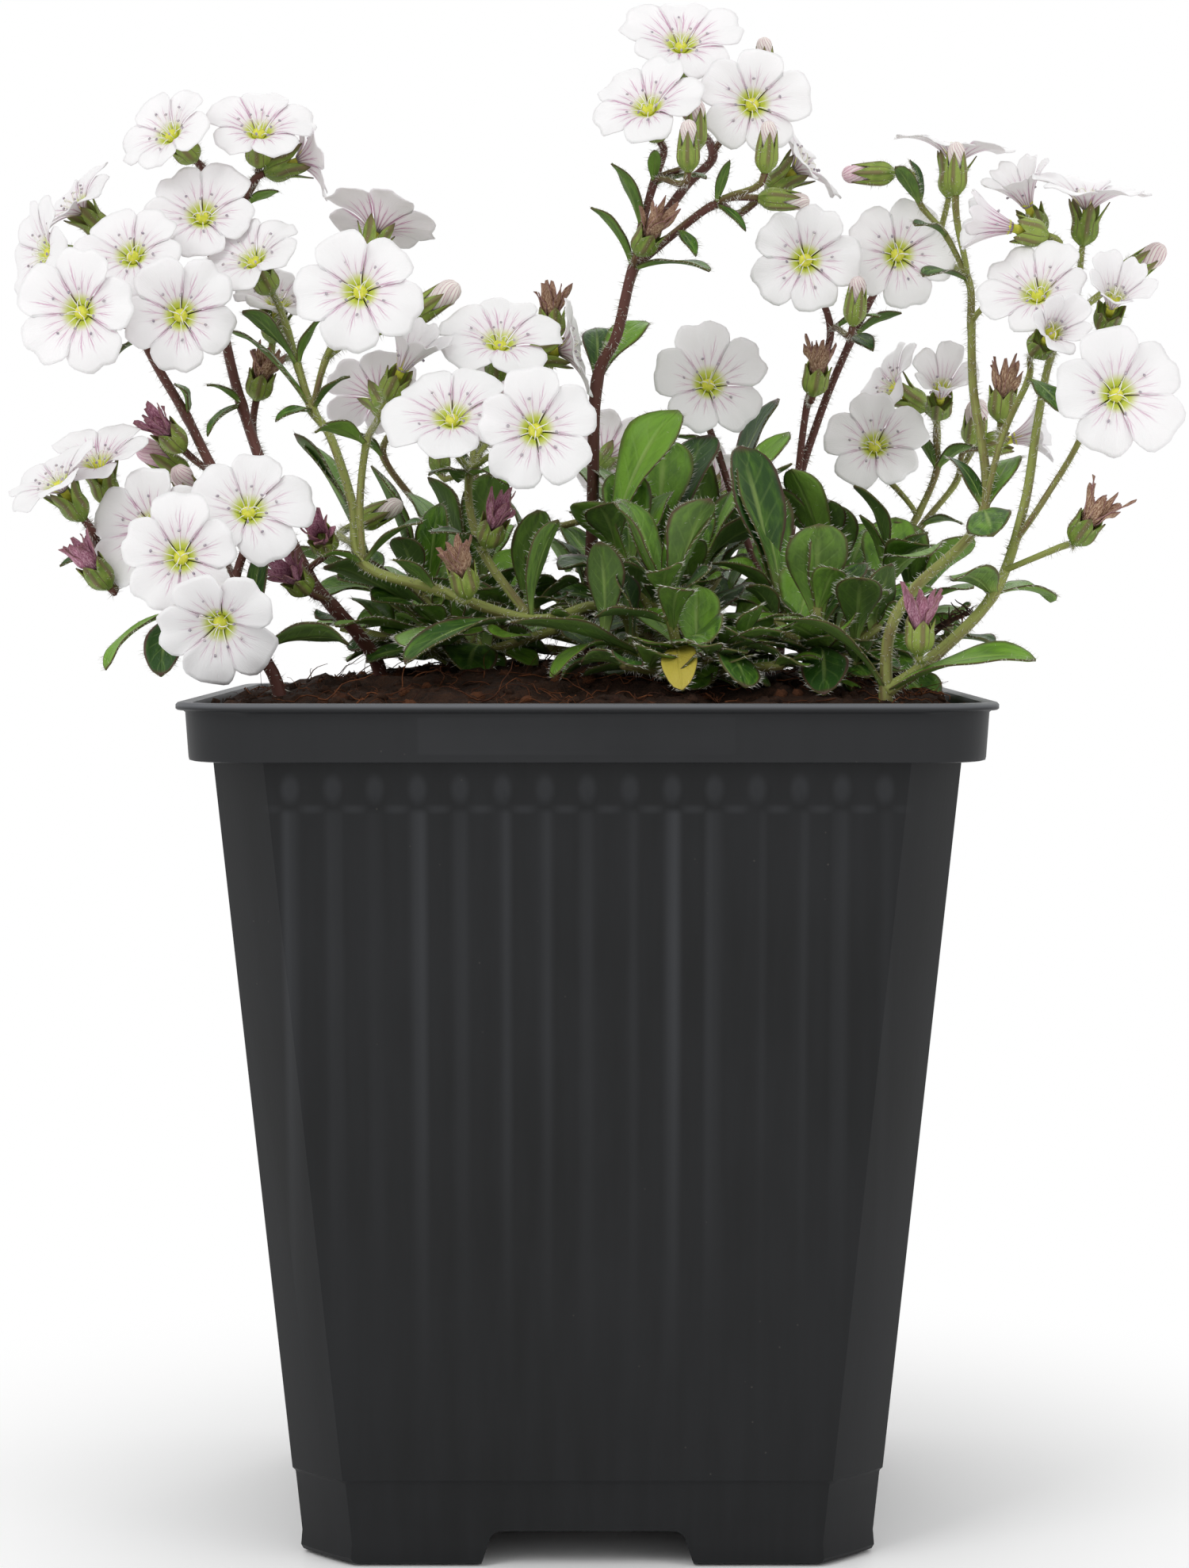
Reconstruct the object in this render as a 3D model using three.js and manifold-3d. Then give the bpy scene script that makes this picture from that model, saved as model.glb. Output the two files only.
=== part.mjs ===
// Potted gypsophila cerastioides: a square nursery pot filled with growing medium, leafy tufts,
// branching flower sprays with their buds and spent heads, and the open five-petalled blooms.
// Millimetres, +Z up. The origin is on the table, under the middle of the pot. The front faces -Y.

import * as THREE from 'three';
import { mergeVertices } from 'three/addons/utils/BufferGeometryUtils.js';
import Module from 'manifold-3d';

const wasm = await Module();
wasm.setup();

// Driving dimensions of the pot, from a common 9 cm square nursery pot
const pot = {
  height: 99,
  baseHalf: 33.2,
  bodyTopHalf: 42,
  wall: 1.4,
  cornerCut: 6.2,
  bandHeight: 6.6,
  bandHalf: 45,
  bandCorner: 8,
  lipHalf: 46,
  lipHeight: 0.9,
  stepHeight: 10,
  stepDepth: 0.3,
  floor: 5.6,
  channelHalf: 11.6,
  channelHeight: 4,
  drainRadius: 4,
  drainSpread: 20,
};
const bandBottom = pot.height - pot.bandHeight;

// Growing medium: level at the wall, mounded towards the middle
const soil = {
  edge: 98,
  mound: 4.2,
  reach: 43,
  lump: 0.9,
  points: 20,
  rootDepth: 6,
};
const gap = 0.3; // clearance between pieces that touch

// Bloom and calyx sizes; a head's own z axis points the way it faces, from the throat
const calyx = { length: 4.4, baseRadius: 0.5, bellyRadius: 1.5, toothRadius: 1.7, toothTip: -0.2,
  notchRadius: 1.4, notch: -1.3, cup: -2.6 };
const throatRadius = 0.6;
const neck = { radius: 0.75, height: -0.3, tip: -1.7 };
const petalOutline = [[-36, 0.6], [-32, 0.86], [-17, 1.02], [0, 0.97], [17, 1.02], [32, 0.86]];
const openness = { open: [40, 100], cup: [18, 50] }; // petal slope from the head's axis, throat to tip

const colours = {
  pot: 0x2c2d2f, soil: 0x2e2118, leaf: 0x4b7a2c, stem: 0x6f7a3c, petal: 0xf2e9ee,
};

// A spray stands in the soil at its foot. A stem is [name, radius at foot, radius at tip, route], and a
// route is a list of [x, y, z]. The first head listed at the end of a stem ends that stem; every other
// head has a pedicel of its own. Heads are placed by their throats, and a head is
// [bloom number or 0, kind, stem, point on it, x, y, z, bearing, rise, size].
// A bearing is 0 towards the front and 90 towards +X; a rise is above level.
// A leaf is [stem, point on it, tip x, tip y, tip z, width, arch].
const sprays = [
  {
    name: 'left',
    foot: [-25, -8],
    stems: [
      ['high', 1.05, 0.5, [[-27.5, -12, 106.5], [-30, -15, 109.5], [-33, -16, 113.5], [-37.5, -11, 123],
        [-42, -2, 134], [-44.5, 4, 142], [-46, 9, 148.5], [-45.5, 12, 155.5], [-43, 13, 159.5]]],
      ['low', 0.8, 0.5, [[-33, -16, 113.5], [-42.5, -13, 123], [-48.5, -4, 132.5], [-54, 0, 142]]],
    ],
    heads: [
      [1, 'open', 'high', 10, -50.5, 3, 166.5, -35, 30, 6],
      [2, 'open', 'high', 10, -40.5, 6, 167, 5, 45, 6.3],
      [2, 'open', 'high', 10, -36, 9, 164.5, 95, 20, 5.5],
      [4, 'open', 'low', 3, -54.5, -5, 151, -8, 28, 6.6],
      [3, 'open', 'low', 3, -63, 11, 158.5, -60, 40, 6],
      [8, 'open', 'low', 3, -65.5, 4, 152.5, -60, 10, 7.2],
      [5, 'open', 'high', 8, -47, 2, 156.5, 0, 25, 6.8],
      [6, 'open', 'low', 3, -59.5, -13, 144, -12, 5, 7],
      [7, 'open', 'high', 8, -48.5, -9, 144, 6, 2, 6.5],
      [0, 'bud', 'low', 1, -52, -3, 127.5, -80, 35, 5],
      [0, 'spent', 'low', 1, -51, -9, 131, -50, 40, 4],
      [0, 'spent', 'high', 5, -39.5, 0, 138.5, 30, 60, 4],
      [0, 'spent', 'high', 4, -31, -23, 118, -10, 25, 4],
      [0, 'spent', 'high', 3, -34.5, -23, 113.5, -30, 30, 4],
    ],
    leaves: [
      ['high', 6, -45.5, -9, 130, 1.8, 0.6],
      ['low', 2, -50.5, -4, 136, 4.4, 0.8],
      ['low', 3, -57, -6, 139, 2.2, 0.6],
    ],
  },
  {
    name: 'lower_left',
    foot: [-35.5, -26],
    stems: [
      ['main', 0.95, 0.5, [[-38, -27, 104.5], [-43, -27, 107], [-47.5, -25, 109], [-51, -20, 111.5],
        [-54.5, -16, 114.5], [-57.5, -15, 116.5]]],
      ['up', 0.65, 0.5, [[-38, -27, 104.5], [-41, -20, 111.5]]],
    ],
    heads: [
      [1, 'open', 'main', 7, -61, -20, 123, -50, 50, 6.2],
      [1, 'open', 'main', 6, -57.5, -14.5, 125.5, -20, 60, 6],
      [2, 'open', 'main', 5, -50.5, -18, 118.5, -20, 10, 7],
      [3, 'open', 'main', 4, -46, -31, 115, 3, 8, 6.6],
      [4, 'open', 'up', 1, -39, -25, 120, 8, 28, 6.9],
      [5, 'open', 'main', 3, -41, -35, 108, -10, -20, 6.9],
      [0, 'bud', 'up', 1, -48, -9, 124, -30, 50, 4.5],
      [0, 'spent', 'main', 7, -58, -22, 115, -60, 50, 4],
    ],
    leaves: [
      ['main', 4, -54.5, -34, 103, 3.2, 1.2],
      ['main', 4, -48, -36, 104, 4.4, 1],
      ['main', 6, -59, -22, 113, 2.4, 0.6],
      ['main', 2, -27, -33, 106, 4.6, 1],
      ['up', 0, -36, -23, 116, 2.8, 0.8],
    ],
  },
  {
    name: 'centre',
    foot: [5.5, -12],
    stems: [
      ['main', 1.1, 0.5, [[4.5, -16, 108.5], [0.5, -20, 109.5], [-6.5, -25, 108], [-17.5, -25.5, 111.5],
        [-26, -23, 114.5], [-27.5, -18, 121.5], [-30.5, -11, 129.5], [-33, -7, 133], [-35, -4, 138.5],
        [-36.5, -1, 143]]],
      ['inner', 0.5, 0.45, [[-33, -7, 133], [-31.5, -6, 139]]],
      ['right', 0.6, 0.5, [[-26, -23, 114.5], [-26.5, -20, 121.5], [-26, -16, 128.5]]],
      ['up', 0.75, 0.55, [[-6.5, -25, 108], [-12.5, -19, 116.5], [-14, -14, 125]]],
    ],
    heads: [
      [1, 'open', 'main', 11, -40, -3, 150.5, -28, 42, 6.6],
      [2, 'open', 'main', 10, -38.5, 7, 146, 20, 60, 5.6],
      [3, 'open', 'inner', 1, -26, 3, 155, 150, 60, 6.8],
      [4, 'open', 'inner', 1, -26.5, -17, 146, -3, 12, 7.2],
      [5, 'cup', 'right', 2, -22, -12, 137.5, 40, 50, 6.6],
      [6, 'open', 'up', 2, -10.5, -9, 140, 5, 50, 7],
      [7, 'open', 'up', 2, -3.5, 0, 140.5, 85, 12, 6],
      [8, 'open', 'up', 2, -15.5, -24, 130.5, -5, 38, 7.4],
      [9, 'open', 'up', 2, -6, -28, 129.5, 5, 5, 6.9],
      [0, 'bud', 'inner', 1, -18, -4, 146.5, 70, 30, 5],
      [0, 'spent', 'up', 2, -4.5, 6, 146.5, 0, 85, 4],
      [0, 'bud', 'main', 6, -24, -9, 121, 60, 20, 3.5],
      [0, 'spent', 'up', 1, -10.5, -23, 120, 30, 55, 4],
      [0, 'spent', 'main', 5, -14.5, -30, 114.5, -30, 65, 3.5],
    ],
    leaves: [
      ['main', 4, -20.5, -36, 103.5, 5.6, 1.6],
      ['main', 4, -3.5, -28, 119.5, 3.4, 0.9],
      ['main', 6, -30.5, -27, 115.5, 2.2, 0.6],
      ['main', 6, -19, -28, 119.5, 2.6, 0.7],
      ['main', 5, -22, -31, 115, 2.2, 0.5],
      ['main', 9, -37, -12, 131.5, 2.2, 0.6],
      ['right', 2, -31.5, -22, 130, 2.8, 1],
      ['inner', 0, -28.5, -9, 137, 2.2, 0.6],
      ['main', 10, -41, -8, 145, 2.4, 0.6],
      ['main', 10, -31.5, -6, 144.5, 2.5, 0.7],
      ['main', 9, -41.5, 1, 142, 3, 0.7],
      ['up', 2, -18.5, -20, 125, 2, 0.5],
      ['up', 2, -9, -20, 124, 3.8, 1],
      ['up', 2, -15.5, -9, 124.5, 3.6, 0.8],
      ['up', 1, -18, -25, 118, 2.6, 0.8],
    ],
  },
  {
    name: 'tall',
    foot: [0, 8],
    stems: [
      ['middle', 1.05, 0.5, [[0.5, 5, 120], [1, 3, 136.5], [3.5, 1, 142.5], [5.5, 0, 150.5],
        [8.5, 3, 156], [12, 5, 161], [15.5, 8, 165.5]]],
      ['left', 0.55, 0.5, [[5.5, 0, 150.5], [6.5, 1, 155.5], [8, 1.5, 161]]],
      ['right', 0.55, 0.5, [[5.5, 0, 150.5], [11, -1, 155], [15.5, -2, 158]]],
    ],
    heads: [
      [1, 'open', 'middle', 8, 11.5, 9, 178, 0, 40, 7],
      [2, 'open', 'left', 2, 7.5, -1, 169, -20, 38, 6.6],
      [3, 'open', 'middle', 8, 20, 3, 170.5, 3, 5, 6.8],
      [4, 'open', 'right', 2, 25.5, 6, 163, 75, 35, 6],
      [0, 'bud', 'middle', 8, 22, 13, 178.5, 0, 80, 3],
      [0, 'bud', 'left', 2, 13, -4, 168.5, 10, 80, 3],
      [0, 'bud', 'left', 2, 12, -8, 165.5, 0, 70, 3],
      [0, 'bud', 'right', 2, 21.5, -7, 165.5, 10, 70, 3],
      [0, 'bud', 'right', 2, 25, -1, 158.5, 85, -5, 3],
      [0, 'spent', 'middle', 5, 8, -5, 155, 40, 45, 4.6],
    ],
    leaves: [
      ['middle', 5, 0.5, -4, 157.5, 3.6, 0.8],
      ['middle', 5, 14.5, -8, 149.5, 3.9, 1],
      ['left', 1, 3, -2, 163, 2.8, 0.8],
      ['middle', 3, 7, 8, 145, 4.8, 1],
      ['middle', 3, -2, 11, 143.5, 3.8, 0.8],
      ['left', 2, 13, -6, 161, 2.1, 0.5],
    ],
  },
  {
    name: 'centre_right',
    foot: [24, 12],
    stems: [
      ['main', 0.8, 0.5, [[26, 14, 122], [29, 14, 133], [33, 11, 143]]],
      ['inner', 0.55, 0.5, [[26, 14, 122], [27.5, 12, 135], [30, 7, 143.5]]],
      ['left', 0.6, 0.5, [[24, 12, 107], [20, 16, 118], [16.5, 19, 129]]],
    ],
    heads: [
      [1, 'open', 'inner', 2, 26.5, 1, 151.5, -3, 0, 6.6],
      [2, 'open', 'main', 4, 38, 5, 152.5, 2, 3, 6.8],
      [3, 'open', 'left', 2, 15, 14, 137, 5, 15, 7.3],
      [0, 'bud', 'inner', 2, 32.5, -3, 147.5, 10, 65, 3],
      [0, 'spent', 'inner', 1, 28.5, 6, 139.5, 20, 65, 4.4],
    ],
    leaves: [
      ['inner', 2, 35.5, 2, 145, 3, 0.7],
      ['main', 4, 39, 10, 146, 2.2, 0.5],
      ['main', 4, 35, 4, 141, 2.6, 0.6],
      ['left', 2, 10.5, 18, 131, 2.6, 0.6],
    ],
  },
  {
    name: 'right',
    foot: [33.5, -35],
    stems: [
      ['inner', 1.3, 0.5, [[34, -33.5, 106.5], [37, -31, 111.5], [45.5, -25, 120.5], [45.5, -13, 135.5],
        [46, -6, 143.5], [46, -2, 149]]],
      ['outer', 1.2, 0.5, [[33.5, -35, 100], [38.5, -34, 103.5], [46, -31, 111], [50, -26, 121],
        [52.5, -18, 131], [55, -10, 139]]],
      ['innerLeft', 0.5, 0.45, [[46, -2, 149], [43.5, 0, 154.5], [40.5, 2, 158.5]]],
      ['innerRight', 0.55, 0.5, [[45.5, -25, 120.5], [48, -21, 129], [51.5, -17, 136]]],
      ['outerRight', 0.55, 0.45, [[48, -28.5, 116], [52, -27, 121.5], [57.5, -21, 130]]],
      ['outerLow', 0.5, 0.45, [[47, -30, 113.5], [54, -32, 116.5]]],
    ],
    heads: [
      [1, 'open', 'inner', 7, 45.5, 10, 164.5, 60, 80, 7],
      [2, 'cup', 'inner', 6, 50, -13, 154, -85, 12, 6.2],
      [3, 'open', 'outer', 5, 60.5, -1, 157.5, 20, 75, 7.4],
      [3, 'cup', 'outer', 5, 54, 4.5, 158.5, -45, 55, 6],
      [4, 'open', 'outer', 5, 53, -15, 145.5, -25, 35, 6.8],
      [5, 'cup', 'outerRight', 2, 61, -18.5, 144.5, 5, 35, 6.2],
      [6, 'cup', 'innerRight', 2, 53, -24, 140.5, 15, 20, 5.6],
      [7, 'open', 'outerRight', 2, 60, -28, 133.5, 5, 5, 7.7],
      [0, 'bud', 'inner', 7, 44.5, -2, 163.5, 0, 80, 3.2],
      [0, 'bud', 'innerLeft', 2, 33, 1, 162, -95, 0, 3.4],
      [0, 'bud', 'outer', 5, 68, 1, 151.5, 70, 35, 4.6],
      [0, 'spent', 'innerRight', 1, 49, -14, 135.5, 10, 75, 4.4],
      [0, 'spent', 'outerLow', 1, 57, -34, 120, 50, 50, 4.8],
      [0, 'spent', 'outer', 1, 37, -38.5, 108.5, 5, 80, 4.6],
    ],
    leaves: [
      ['outer', 0, 21, -38, 108.5, 5.2, 2.2],
      ['outer', 0, 49.5, -41, 104, 5.8, 1.6],
      ['inner', 4, 45.5, -34.5, 117.5, 5.4, 0.8],
      ['inner', 4, 51, -18, 127, 3.8, 0.8],
      ['inner', 4, 42, -20, 127, 3, 0.7],
      ['outer', 2, 41, -38, 113, 5.4, 1],
      ['outer', 2, 53.5, -24, 110.5, 4.6, 1],
      ['inner', 7, 39.5, -13, 148.5, 2.2, 0.8],
      ['innerRight', 2, 54.5, -25, 132, 3.2, 0.7],
      ['innerLeft', 2, 37, -4, 162.5, 2, 0.4],
      ['innerLeft', 2, 39.5, 3, 164, 2.2, 0.5],
      ['innerLeft', 1, 39, -8, 155, 2, 0.5],
    ],
  },
  {
    name: 'right_back',
    foot: [32.5, 22],
    stems: [
      ['main', 0.85, 0.5, [[37.5, 24, 112], [42.5, 25, 121], [45, 25, 127]]],
      ['right', 0.6, 0.5, [[37.5, 24, 112], [43.5, 28, 120], [48, 30, 125.5]]],
    ],
    heads: [
      [1, 'cup', 'main', 4, 44.5, 15, 136, 0, 35, 6.4],
      [2, 'open', 'main', 3, 36.5, 19, 129.5, -5, 20, 6.4],
      [3, 'open', 'main', 4, 40, 25, 137, -75, 30, 6],
      [4, 'cup', 'right', 2, 55, 27, 131, 80, 15, 5.4],
      [0, 'bud', 'right', 2, 50, 25, 133.5, 0, 45, 5],
    ],
    leaves: [
      ['main', 4, 41.5, 21, 132, 2, 0.5],
      ['main', 4, 49, 20, 130, 2.4, 0.6],
      ['right', 1, 48, 22, 120, 2.8, 0.7],
    ],
  },
  {
    name: 'back',
    foot: [-15, 24],
    stems: [
      ['main', 0.9, 0.55, [[-15, 30, 113], [-15, 34, 121], [-15, 36, 127]]],
      ['left', 0.6, 0.5, [[-15, 30, 113], [-22, 34, 122], [-27, 34, 129]]],
      ['right', 0.6, 0.5, [[-15, 30, 113], [-6, 34, 119], [3, 36, 122]]],
    ],
    heads: [
      [1, 'open', 'main', 4, -13, 42, 136, 175, 30, 6.6],
      [2, 'open', 'left', 2, -28, 40, 137, -155, 35, 6.4],
      [3, 'open', 'right', 2, 2, 43, 129, 165, 20, 6.6],
      [4, 'open', 'right', 2, 17, 41, 124.5, 150, 40, 6.2],
      [0, 'bud', 'main', 4, -20, 40, 130.5, -170, 60, 3.2],
    ],
    leaves: [
      ['main', 2, -8, 38, 110, 4.8, 1.2],
      ['main', 2, -25, 38, 109, 4.8, 1.2],
      ['main', 4, -20, 31, 131, 2.4, 0.6],
      ['left', 2, -32, 30, 132, 2.6, 0.6],
      ['right', 2, 6, 33, 128, 2.6, 0.6],
      ['right', 1, -3, 42, 114, 3.4, 0.8],
    ],
  },
];

// A tuft is short leafy shoots from one crown. A shoot is [top x, y, z, longest leaf, turn of its pairs].
// Its extra leaves are [shoot, share of its height, tip x, y, z, width, arch].
const tufts = [
  {
    name: 'front',
    foot: [11, -25],
    shoots: [[8.5, -28.5, 111, 10, 20], [18, -31, 105.5, 9, 55], [0.5, -26, 106.5, 9, 5]],
    leaves: [
      [0, 0.9, 3.5, -31, 121.5, 5.8, 0.4],
      [0, 0.8, 13.5, -29, 122, 6, 0.4],
      [0, 0.6, 10.5, -37.5, 112, 3.8, 1],
      [2, 0.8, -4, -34, 102, 3.8, 1.4],
      [2, 0.9, 1.5, -26.5, 117, 5.4, 0.5],
      [1, 0.6, 17.5, -40, 100.8, 5, 1.6],
      [0, 0.4, 10.5, -40, 100.8, 4.2, 1.6],
    ],
  },
  {
    name: 'front_right',
    foot: [27, -21],
    shoots: [[26.5, -24, 109.5, 10, 35], [21, -13, 113, 11, 70], [34, -22, 107.5, 9, 10]],
    leaves: [
      [0, 0.8, 26.5, -26.5, 119, 7.4, 0.5],
      [1, 0.9, 18, -12, 128.5, 9.6, 0.9],
      [2, 0.9, 35, -24, 114.5, 6.6, 0.6],
      [0, 0.5, 26.5, -37.5, 102.5, 5.2, 1.6],
      [2, 0.7, 31, -31, 113, 5.2, 0.8],
    ],
  },
  {
    name: 'middle',
    foot: [10, -3],
    shoots: [[3, -6, 117, 12, 25], [14.5, -3, 116, 12, 60], [9, 3.5, 117, 12, 0]],
    leaves: [
      [0, 1, 10.5, -2, 133.5, 7.4, 1.2],
      [2, 1, 9.5, 8.5, 130, 8, 1],
      [0, 0.8, -1.5, -9, 122, 5.6, 0.6],
      [2, 0.9, 15, 11, 131, 7.6, 1],
    ],
  },
  {
    name: 'left',
    foot: [-15, -3],
    shoots: [[-21, -4, 112, 12, 50], [-6, -9, 109.5, 11, 15], [-27, 5, 112, 12, 80], [-13, 9, 113.5, 12, 30],
      [-16.5, -12.5, 107, 9.5, 50]],
    leaves: [
      [2, 0.9, -35.5, 4, 131, 6.6, 0.8],
      [0, 0.9, -24.5, -7, 125, 4.8, 0.8],
      [3, 0.7, -19, 3, 125.5, 5.8, 0.6],
      [1, 0.9, -6, -12.5, 121, 5.6, 0.6],
    ],
  },
  {
    name: 'right',
    foot: [35, 2],
    shoots: [[28.5, -1, 116, 12, 40], [36, -5, 114.5, 12, 75], [41, 6, 110.5, 11, 10]],
    leaves: [
      [1, 0.8, 40, -18, 116, 6.4, 1.4],
      [0, 0.9, 24.5, -7, 126, 5.6, 0.6],
      [1, 1, 32, -7, 124, 5, 1.4],
      [2, 0.9, 47, 1, 118, 5.2, 0.8],
    ],
  },
  {
    name: 'back',
    foot: [9, 24],
    shoots: [[17, 22, 118, 12, 65], [5, 19, 116.5, 12, 20], [19, 32, 110.5, 12, 35], [3, 30, 109.5, 11, 75]],
    leaves: [
      [0, 1, 24, 20.5, 136, 8.4, 1],
      [0, 1, 19, 14, 132, 6, 0.8],
    ],
  },
];
const crownRadius = 2.2;
const shootRadius = 0.8;
const stemSides = 4;
const stemTaper = 0.6; // below 1, a stem narrows more near its foot
const shortPedicel = 8; // pedicels shorter than this are straight
const forkRadius = 0.34; // of a pedicel where it leaves its stem
const nodeHeight = 1.1; // of the facet that a leaf grows from
const pairHeights = [0.4, 0.7, 0.95];
const pairRises = [14, 34, 56];
const pairLengths = [1, 0.9, 0.66];
const smallLeaf = 9; // leaves shorter than this have one section fewer
const leafWidth = 0.58; // as a share of a leaf's length

// A leaf that would pass through another piece grows round it: these turns and lifts are tried in order.
const sways = [[0, 0], [10, 0], [-10, 0], [0, 12], [0, -10], [20, 6], [-20, 6], [0, 24], [32, 12], [-32, 12],
  [0, 38]];
const keelDepth = 0.7; // of a blade, below its flat upper face
const bladeFoot = { half: 0.35, keel: 0.45 }; // small enough to start inside its stem

const rad = THREE.MathUtils.degToRad;
const vec = (x, y, z) => new THREE.Vector3(x, y, z);

// Repeatable chance: the same two numbers always give the same value from 0 to 1.
function chance(a, b) {
  const value = Math.sin(a * 12.9898 + b * 78.233) * 43758.5453;
  return value - Math.floor(value);
}

// Unit direction of a bearing and a rise above level, and the level direction to its right
function aim(bearing, rise) {
  const b = rad(bearing);
  const r = rad(rise);
  return vec(Math.sin(b) * Math.cos(r), -Math.cos(b) * Math.cos(r), Math.sin(r));
}
function levelSide(bearing) {
  return vec(Math.cos(rad(bearing)), Math.sin(rad(bearing)), 0);
}

// Faces between two rings of any counts, always stepping along the ring that lags behind.
// Rings run anticlockwise as seen from the far end, so that the faces point outwards.
function bridge(lower, upper) {
  const faces = [];
  let i = 0;
  let j = 0;
  while (i < lower.length || j < upper.length) {
    const a = lower[i % lower.length];
    const b = upper[j % upper.length];
    const upperLags = (j + 0.5) / upper.length < (i + 0.5) / lower.length;
    if (upperLags) {
      j += 1;
      if (upper.length > 1) faces.push([a, upper[j % upper.length], b]);
    } else {
      i += 1;
      if (lower.length > 1) faces.push([a, lower[i % lower.length], b]);
    }
  }
  return faces;
}

// A closed skin in the making: its points, and the faces between rings of them
class Skin {
  points = [];
  faces = [];

  ring(points) {
    return points.map((point) => this.points.push(point) - 1);
  }

  // Faces from ring to ring; a ring of one point is an apex
  strip(rings) {
    for (let i = 0; i + 1 < rings.length; i++) this.faces.push(...bridge(rings[i], rings[i + 1]));
  }

  // Flat end: a foot faces back down the rings, a head faces on
  foot(ring) {
    for (let i = 1; i + 1 < ring.length; i++) this.faces.push([ring[0], ring[i + 1], ring[i]]);
  }

  head(ring) {
    for (let i = 1; i + 1 < ring.length; i++) this.faces.push([ring[0], ring[i], ring[i + 1]]);
  }

  solid() {
    return new wasm.Manifold(new wasm.Mesh({
      numProp: 3,
      vertProperties: Float32Array.from(this.points.flatMap((point) => point.toArray())),
      triVerts: Uint32Array.from(this.faces.flat()),
    }));
  }
}

// Closed solid through rings of points
function loft(rings) {
  const skin = new Skin();
  const numbered = rings.map((ring) => skin.ring(ring));
  skin.strip(numbered);
  skin.foot(numbered[0]);
  skin.head(numbered[numbered.length - 1]);
  return skin.solid();
}

function solidOf(geometry) {
  geometry.deleteAttribute('normal');
  geometry.deleteAttribute('uv');
  const merged = mergeVertices(geometry, 1e-4);
  return new wasm.Manifold(new wasm.Mesh({
    numProp: 3,
    vertProperties: Float32Array.from(merged.attributes.position.array),
    triVerts: Uint32Array.from(merged.index.array),
  }));
}

const join = (solids) => solids.reduce((whole, solid) => whole.add(solid));

// Ring of a square with rounded corners, or with cut ones in a single step
function squareRing(z, half, corner, steps) {
  const ring = [];
  for (let quarter = 0; quarter < 4; quarter++) {
    for (let i = 0; i <= steps; i++) {
      const turn = i / steps * Math.PI / 2;
      const x = half - corner + corner * Math.cos(turn);
      const y = half - corner + corner * Math.sin(turn);
      ring.push(vec(x, y, z).applyAxisAngle(vec(0, 0, 1), quarter * Math.PI / 2));
    }
  }
  return ring;
}

// Half width of the pot's outside at a height
const bodyHalf = (z) => pot.baseHalf + (pot.bodyTopHalf - pot.baseHalf) * z / bandBottom;

function buildPot() {
  const cut = pot.cornerCut;
  const top = pot.height;
  const inner = pot.bandHalf - pot.wall;
  const shell = loft([
    squareRing(0, pot.baseHalf - 0.5, cut, 1),
    squareRing(0.8, bodyHalf(0.8), cut, 1),
    squareRing(pot.stepHeight - 0.3, bodyHalf(pot.stepHeight) - pot.stepDepth, cut, 1),
    squareRing(pot.stepHeight, bodyHalf(pot.stepHeight), cut, 1),
    squareRing(bandBottom, pot.bodyTopHalf, cut, 1),
    squareRing(bandBottom, pot.bandHalf - 0.4, pot.bandCorner, 3),
    squareRing(top - pot.lipHeight, pot.bandHalf, pot.bandCorner, 3),
    squareRing(top - pot.lipHeight, pot.lipHalf, pot.bandCorner + 1, 3),
    squareRing(top, pot.lipHalf, pot.bandCorner + 1, 3),
    squareRing(top, inner + 0.4, pot.bandCorner - 1, 3),
    squareRing(bandBottom + 1.4, inner, pot.bandCorner - 1, 3),
    squareRing(bandBottom - 1, bodyHalf(bandBottom - 1) - pot.wall, cut - 0.6, 1),
    squareRing(pot.floor, bodyHalf(pot.floor) - pot.wall, cut - 0.6, 1),
  ]);
  const section = new THREE.Shape();
  section.moveTo(-pot.channelHalf - 0.9, -1);
  section.lineTo(pot.channelHalf + 0.9, -1);
  section.lineTo(pot.channelHalf - 0.4, pot.channelHeight - 1.2);
  section.lineTo(pot.channelHalf - 1.6, pot.channelHeight);
  section.lineTo(-pot.channelHalf + 1.6, pot.channelHeight);
  section.lineTo(-pot.channelHalf + 0.4, pot.channelHeight - 1.2);
  section.closePath();
  const length = 2 * pot.bodyTopHalf;
  const channel = new THREE.ExtrudeGeometry(section, { depth: length, bevelEnabled: false });
  channel.translate(0, 0, -length / 2).rotateX(Math.PI / 2);
  const cuts = [solidOf(channel.clone()), solidOf(channel.clone().rotateZ(Math.PI / 2))];
  for (const [x, y] of [[0, 0], [1, 0], [-1, 0], [0, 1], [0, -1]]) {
    const drain = new THREE.CylinderGeometry(pot.drainRadius, pot.drainRadius, 2 * pot.floor, 8);
    drain.rotateX(Math.PI / 2).translate(x * pot.drainSpread, y * pot.drainSpread, pot.floor);
    cuts.push(solidOf(drain));
  }
  return cuts.reduce((body, piece) => body.subtract(piece), shell);
}

// Height of the growing medium, without its lumps
function soilTop(x, y) {
  const out = Math.pow((x / soil.reach) ** 4 + (y / soil.reach) ** 4, 0.25);
  return soil.edge + soil.mound * (1 - Math.min(1, out) ** 2);
}

// Ring of a nearly square outline with evenly turned points
function soilRing(half, heightAt) {
  const ring = [];
  for (let i = 0; i < soil.points; i++) {
    const turn = 2 * Math.PI * i / soil.points;
    const reach = half / Math.pow(Math.cos(turn) ** 8 + Math.sin(turn) ** 8, 1 / 8);
    const x = reach * Math.cos(turn);
    const y = reach * Math.sin(turn);
    ring.push(vec(x, y, heightAt(x, y, i)));
  }
  return ring;
}

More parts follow.
